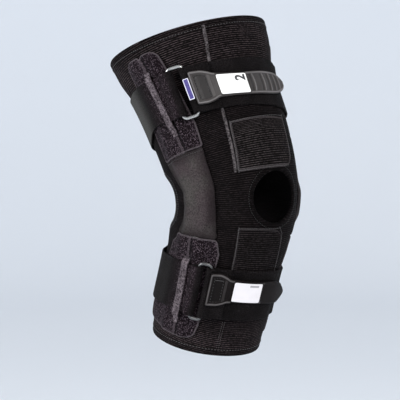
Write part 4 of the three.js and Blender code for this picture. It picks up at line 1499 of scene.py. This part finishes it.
def tab_plastic(name, shine, dull, plain, edge_highlight_colour):
    """Moulded plastic with painted highlights on its raised edges and painted shade in its hollows."""
    material, tree, shader = new_material(name)
    where = place_on_object(tree)
    grain = cloudy(tree, where, 1900.0, 1.0)
    cloud = cloudy(tree, where, 60.0, 2.0)
    relief = attribute(tree, "relief")
    # Painted highlight: the raised edges are made lighter where light would catch them.
    painted_edge_highlight = times(tree, spread(tree, relief, 0.15, 0.7), spread(tree, cloud, 0.3, 0.7, 0.65, 1.0))
    flat = blend_colours(tree, cloud, dull, plain)
    with_edge_highlight = blend_colours(tree, painted_edge_highlight, flat, edge_highlight_colour)
    # Painted shade in the sewn window and in the grooves beside the ribs.
    painted_recess_shade = spread(tree, relief, -0.5, -0.1, 0.7, 0.0)
    give(tree, shader.inputs["Base Color"], blend_colours(tree, painted_recess_shade, with_edge_highlight, (0.006, 0.005, 0.005, 1)))
    give(tree, shader.inputs["Roughness"], spread(tree, grain, 0.3, 0.7, 0.42, 0.6))
    give(tree, shader.inputs["Specular IOR Level"], shine)
    raise_surface(tree, shader, grain, 0.25, 0.12)
    return material


TAB_MOULDINGS = {
    "tab_upper": tab_plastic(
        "tab_moulding_upper", shine=0.25, dull=(0.020, 0.017, 0.016, 1), plain=(0.034, 0.029, 0.028, 1),
        edge_highlight_colour=(0.115, 0.107, 0.106, 1),
    ),
    # The lower tab is a darker copy of the same plastic: painted shade.
    "tab_lower": tab_plastic(
        "tab_moulding_lower", shine=0.05, dull=(0.004, 0.003, 0.003, 1), plain=(0.009, 0.007, 0.007, 1),
        edge_highlight_colour=(0.085, 0.078, 0.077, 1),
    ),
}


def tab(name, shape, node):
    """A moulded tab, with its relief as an attribute for the plastic."""
    columns, rows = 250, 60
    share = np.repeat(0.006 + 0.988 * crowded(columns, 0.35), rows + 1)
    half = tab_half(share) * (1 - shape["pointed"] * ease(share, 0.84, 0.98)) - EDGE_INSET
    reach = np.tile(np.linspace(-1, 1, rows + 1), columns + 1) * half
    relief = tab_relief(shape, share, reach, half)
    outer = on_tab(shape, share, reach, TAB + relief)
    inner = on_tab(shape, share, reach, 0.0)
    uv = np.stack([share * TAB_LENGTH, reach], -1)
    edge = half - np.abs(reach)
    made = cloth(name, outer, inner, grid_faces(columns, rows), uv, edge, TAB_MOULDINGS[node], bulge=0.8)
    mark_outer(made, "relief", relief)
    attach(made, "root")
    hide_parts(node)


tab("tab_upper_moulding", UPPER_TAB, "tab_upper")
tab("tab_lower_moulding", LOWER_TAB, "tab_lower")


def tab_window(shape, out):
    """The stitched line round a tab's sewn window."""
    corners = [(0.036, -0.78), (0.036, 0.78), (0.124, 0.78), (0.124, -0.78), (0.036, -0.78)]
    line = []
    for (s0, a0), (s1, a1) in zip(corners, corners[1:]):
        for t in np.linspace(0, 1, 16):
            share, across = s0 + (s1 - s0) * t, a0 + (a1 - a0) * t
            line.append(on_tab(shape, share, across * float(tab_half(share)), out))
    return line


sew("tab_window_stitches", [tab_window(shape, TAB - 0.45) for shape in (UPPER_TAB, LOWER_TAB)],
    pitch=3.0, length=1.9, width=0.9, thread=black_thread)
sew("tab_bar_tack", [on_tab(LOWER_TAB, np.linspace(0.045, 0.115, 12), 10.4, TAB - 0.3)],
    pitch=0.9, length=1.4, width=0.7, thread=grey_thread)


# Number fields: a white plate set on each tab, with a plain figure on it that
# tells which strap to close first.
FIELD = 0.5
FIELD_HEIGHT = 20.5
FIELD_CORNER = 1.2


def paint_material(name, colour, roughness, spots):
    """A painted or moulded colour with clouds of another tone."""
    material, tree, shader = new_material(name)
    where = place_on_object(tree)
    cloud = cloudy(tree, where, 90.0, 3.0)
    grain = cloudy(tree, where, 2200.0, 1.0)
    other = tuple(part * spots for part in colour)
    tone = blend_colours(tree, spread(tree, cloud, 0.35, 0.7), (*colour, 1), (*other, 1))
    give(tree, shader.inputs["Base Color"], tone)
    give(tree, shader.inputs["Roughness"], spread(tree, grain, 0.3, 0.7, roughness * 0.85, roughness * 1.15))
    raise_surface(tree, shader, grain, 0.1, 0.05)
    return material


field_white = paint_material("field_white", (0.89, 0.88, 0.86), 0.5, 0.94)
field_dull = paint_material("field_dull_white", (0.70, 0.67, 0.68), 0.55, 0.95)
figure_black = paint_material("figure_black", (0.028, 0.028, 0.03), 0.5, 0.8)
figure_grey = paint_material("figure_grey", (0.32, 0.31, 0.31), 0.5, 0.85)


def number_field(name, shape, node, white):
    """A thin plate with rounded corners that follows the face of a tab."""
    columns, rows = 30, 24
    low, high = shape["field"]
    t = crowded(columns, 0.9)
    share = np.repeat(low + 0.003 + (high - low - 0.006) * t, rows + 1)
    from_end = np.minimum(t, 1 - t) * (high - low) * TAB_LENGTH
    pull = corner_inset(from_end, 0.0, math.inf, FIELD_CORNER, 0)
    half = np.repeat(FIELD_HEIGHT / 2 - 0.25 - pull, rows + 1)
    reach = np.tile(np.linspace(-1, 1, rows + 1), columns + 1) * half
    outer = on_tab(shape, share, reach, TAB + LAYER_GAP + FIELD)
    inner = on_tab(shape, share, reach, TAB + LAYER_GAP)
    uv = np.stack([share * TAB_LENGTH, reach], -1)
    made = cloth(name, outer, inner, grid_faces(columns, rows), uv, half - np.abs(reach), white)
    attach(made, "root")
    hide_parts(node)


number_field("number_field_upper_plate", UPPER_TAB, "number_field_upper", field_white)
number_field("number_field_lower_plate", LOWER_TAB, "number_field_lower", field_dull)


def figure(name, text, shape, share, across, height, material):
    """A printed figure, turned a quarter so that its top points at the tab's sewn end."""
    curve = bpy.data.curves.new(name, "FONT")
    curve.body = text
    curve.size = 1.0
    curve.extrude = 0.01
    curve.offset = 0.03
    curve.resolution_u = 4
    written = add_object(name, curve)
    bpy.context.view_layer.update()
    mesh = bpy.data.meshes.new_from_object(written.evaluated_get(bpy.context.evaluated_depsgraph_get()))
    bpy.data.objects.remove(written)
    fine = bmesh.new()
    fine.from_mesh(mesh)
    for _ in range(4):
        long_edges = [e for e in fine.edges if e.calc_length() > 0.06]
        if long_edges:
            bmesh.ops.subdivide_edges(fine, edges=long_edges, cuts=1)
    bmesh.ops.triangulate(fine, faces=fine.faces)
    fine.to_mesh(mesh)
    fine.free()
    points = np.empty(len(mesh.vertices) * 3)
    mesh.vertices.foreach_get("co", points)
    points = points.reshape(-1, 3)
    low, high = points.min(0), points.max(0)
    points = (points - (low + high) / 2) / (high[1] - low[1])
    place = on_tab(
        shape, share - points[:, 1] * height / TAB_LENGTH, across + points[:, 0] * height,
        TAB + LAYER_GAP + FIELD + 0.06 + np.sign(points[:, 2]) * 0.05,
    )
    mesh.vertices.foreach_set("co", place.ravel())
    mesh.materials.clear()
    mesh.materials.append(material)
    mesh.update()
    made = add_object(name, mesh)
    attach(made, "root")


figure("figure_upper", "2", UPPER_TAB, share=0.426, across=5.8, height=9.8, material=figure_black)
figure("figure_lower", "1", LOWER_TAB, share=0.452, across=7.4, height=10.0, material=figure_grey)


# Label: a small woven label, blue-violet with a pale border, sewn on the upper
# strap beside its tab and left without any mark.
LABEL = 0.5
LABEL_PLACE = [(0.557, 58, 62), (0.678, 58, 62)]


def label_cloth(name):
    """Fine weave with a pale border."""
    material, tree, shader, place, border = fabric(name, 0.75, 0.05)
    grain = cloudy(tree, place, 2.6, 2.0)
    thick = spread(tree, grain, 0.35, 0.65)
    blue = blend_colours(tree, thick, (0.020, 0.016, 0.075, 1), (0.105, 0.092, 0.27, 1))
    outside = calc(tree, "GREATER_THAN", border, INNER_FACE / 2)
    pale = times(tree, calc(tree, "LESS_THAN", border, 0.45), outside)
    give(tree, shader.inputs["Base Color"], blend_colours(tree, pale, blue, (0.62, 0.62, 0.68, 1)))
    raise_surface(tree, shader, grain, 0.5, 0.2)
    return material


label_weave = label_cloth("label_weave")
label_rise = UPPER_STRAP["front_rise"] * POCKET_RISE + 2 * LOOP_RADIUS + STRAP + LAYER_GAP
label = patch(
    "strap_label_weave", LABEL_PLACE, level(label_rise), LABEL, (14, 30), label_weave, corners=(0.3,) * 4,
)
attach(label, "root")
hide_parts("strap_label")
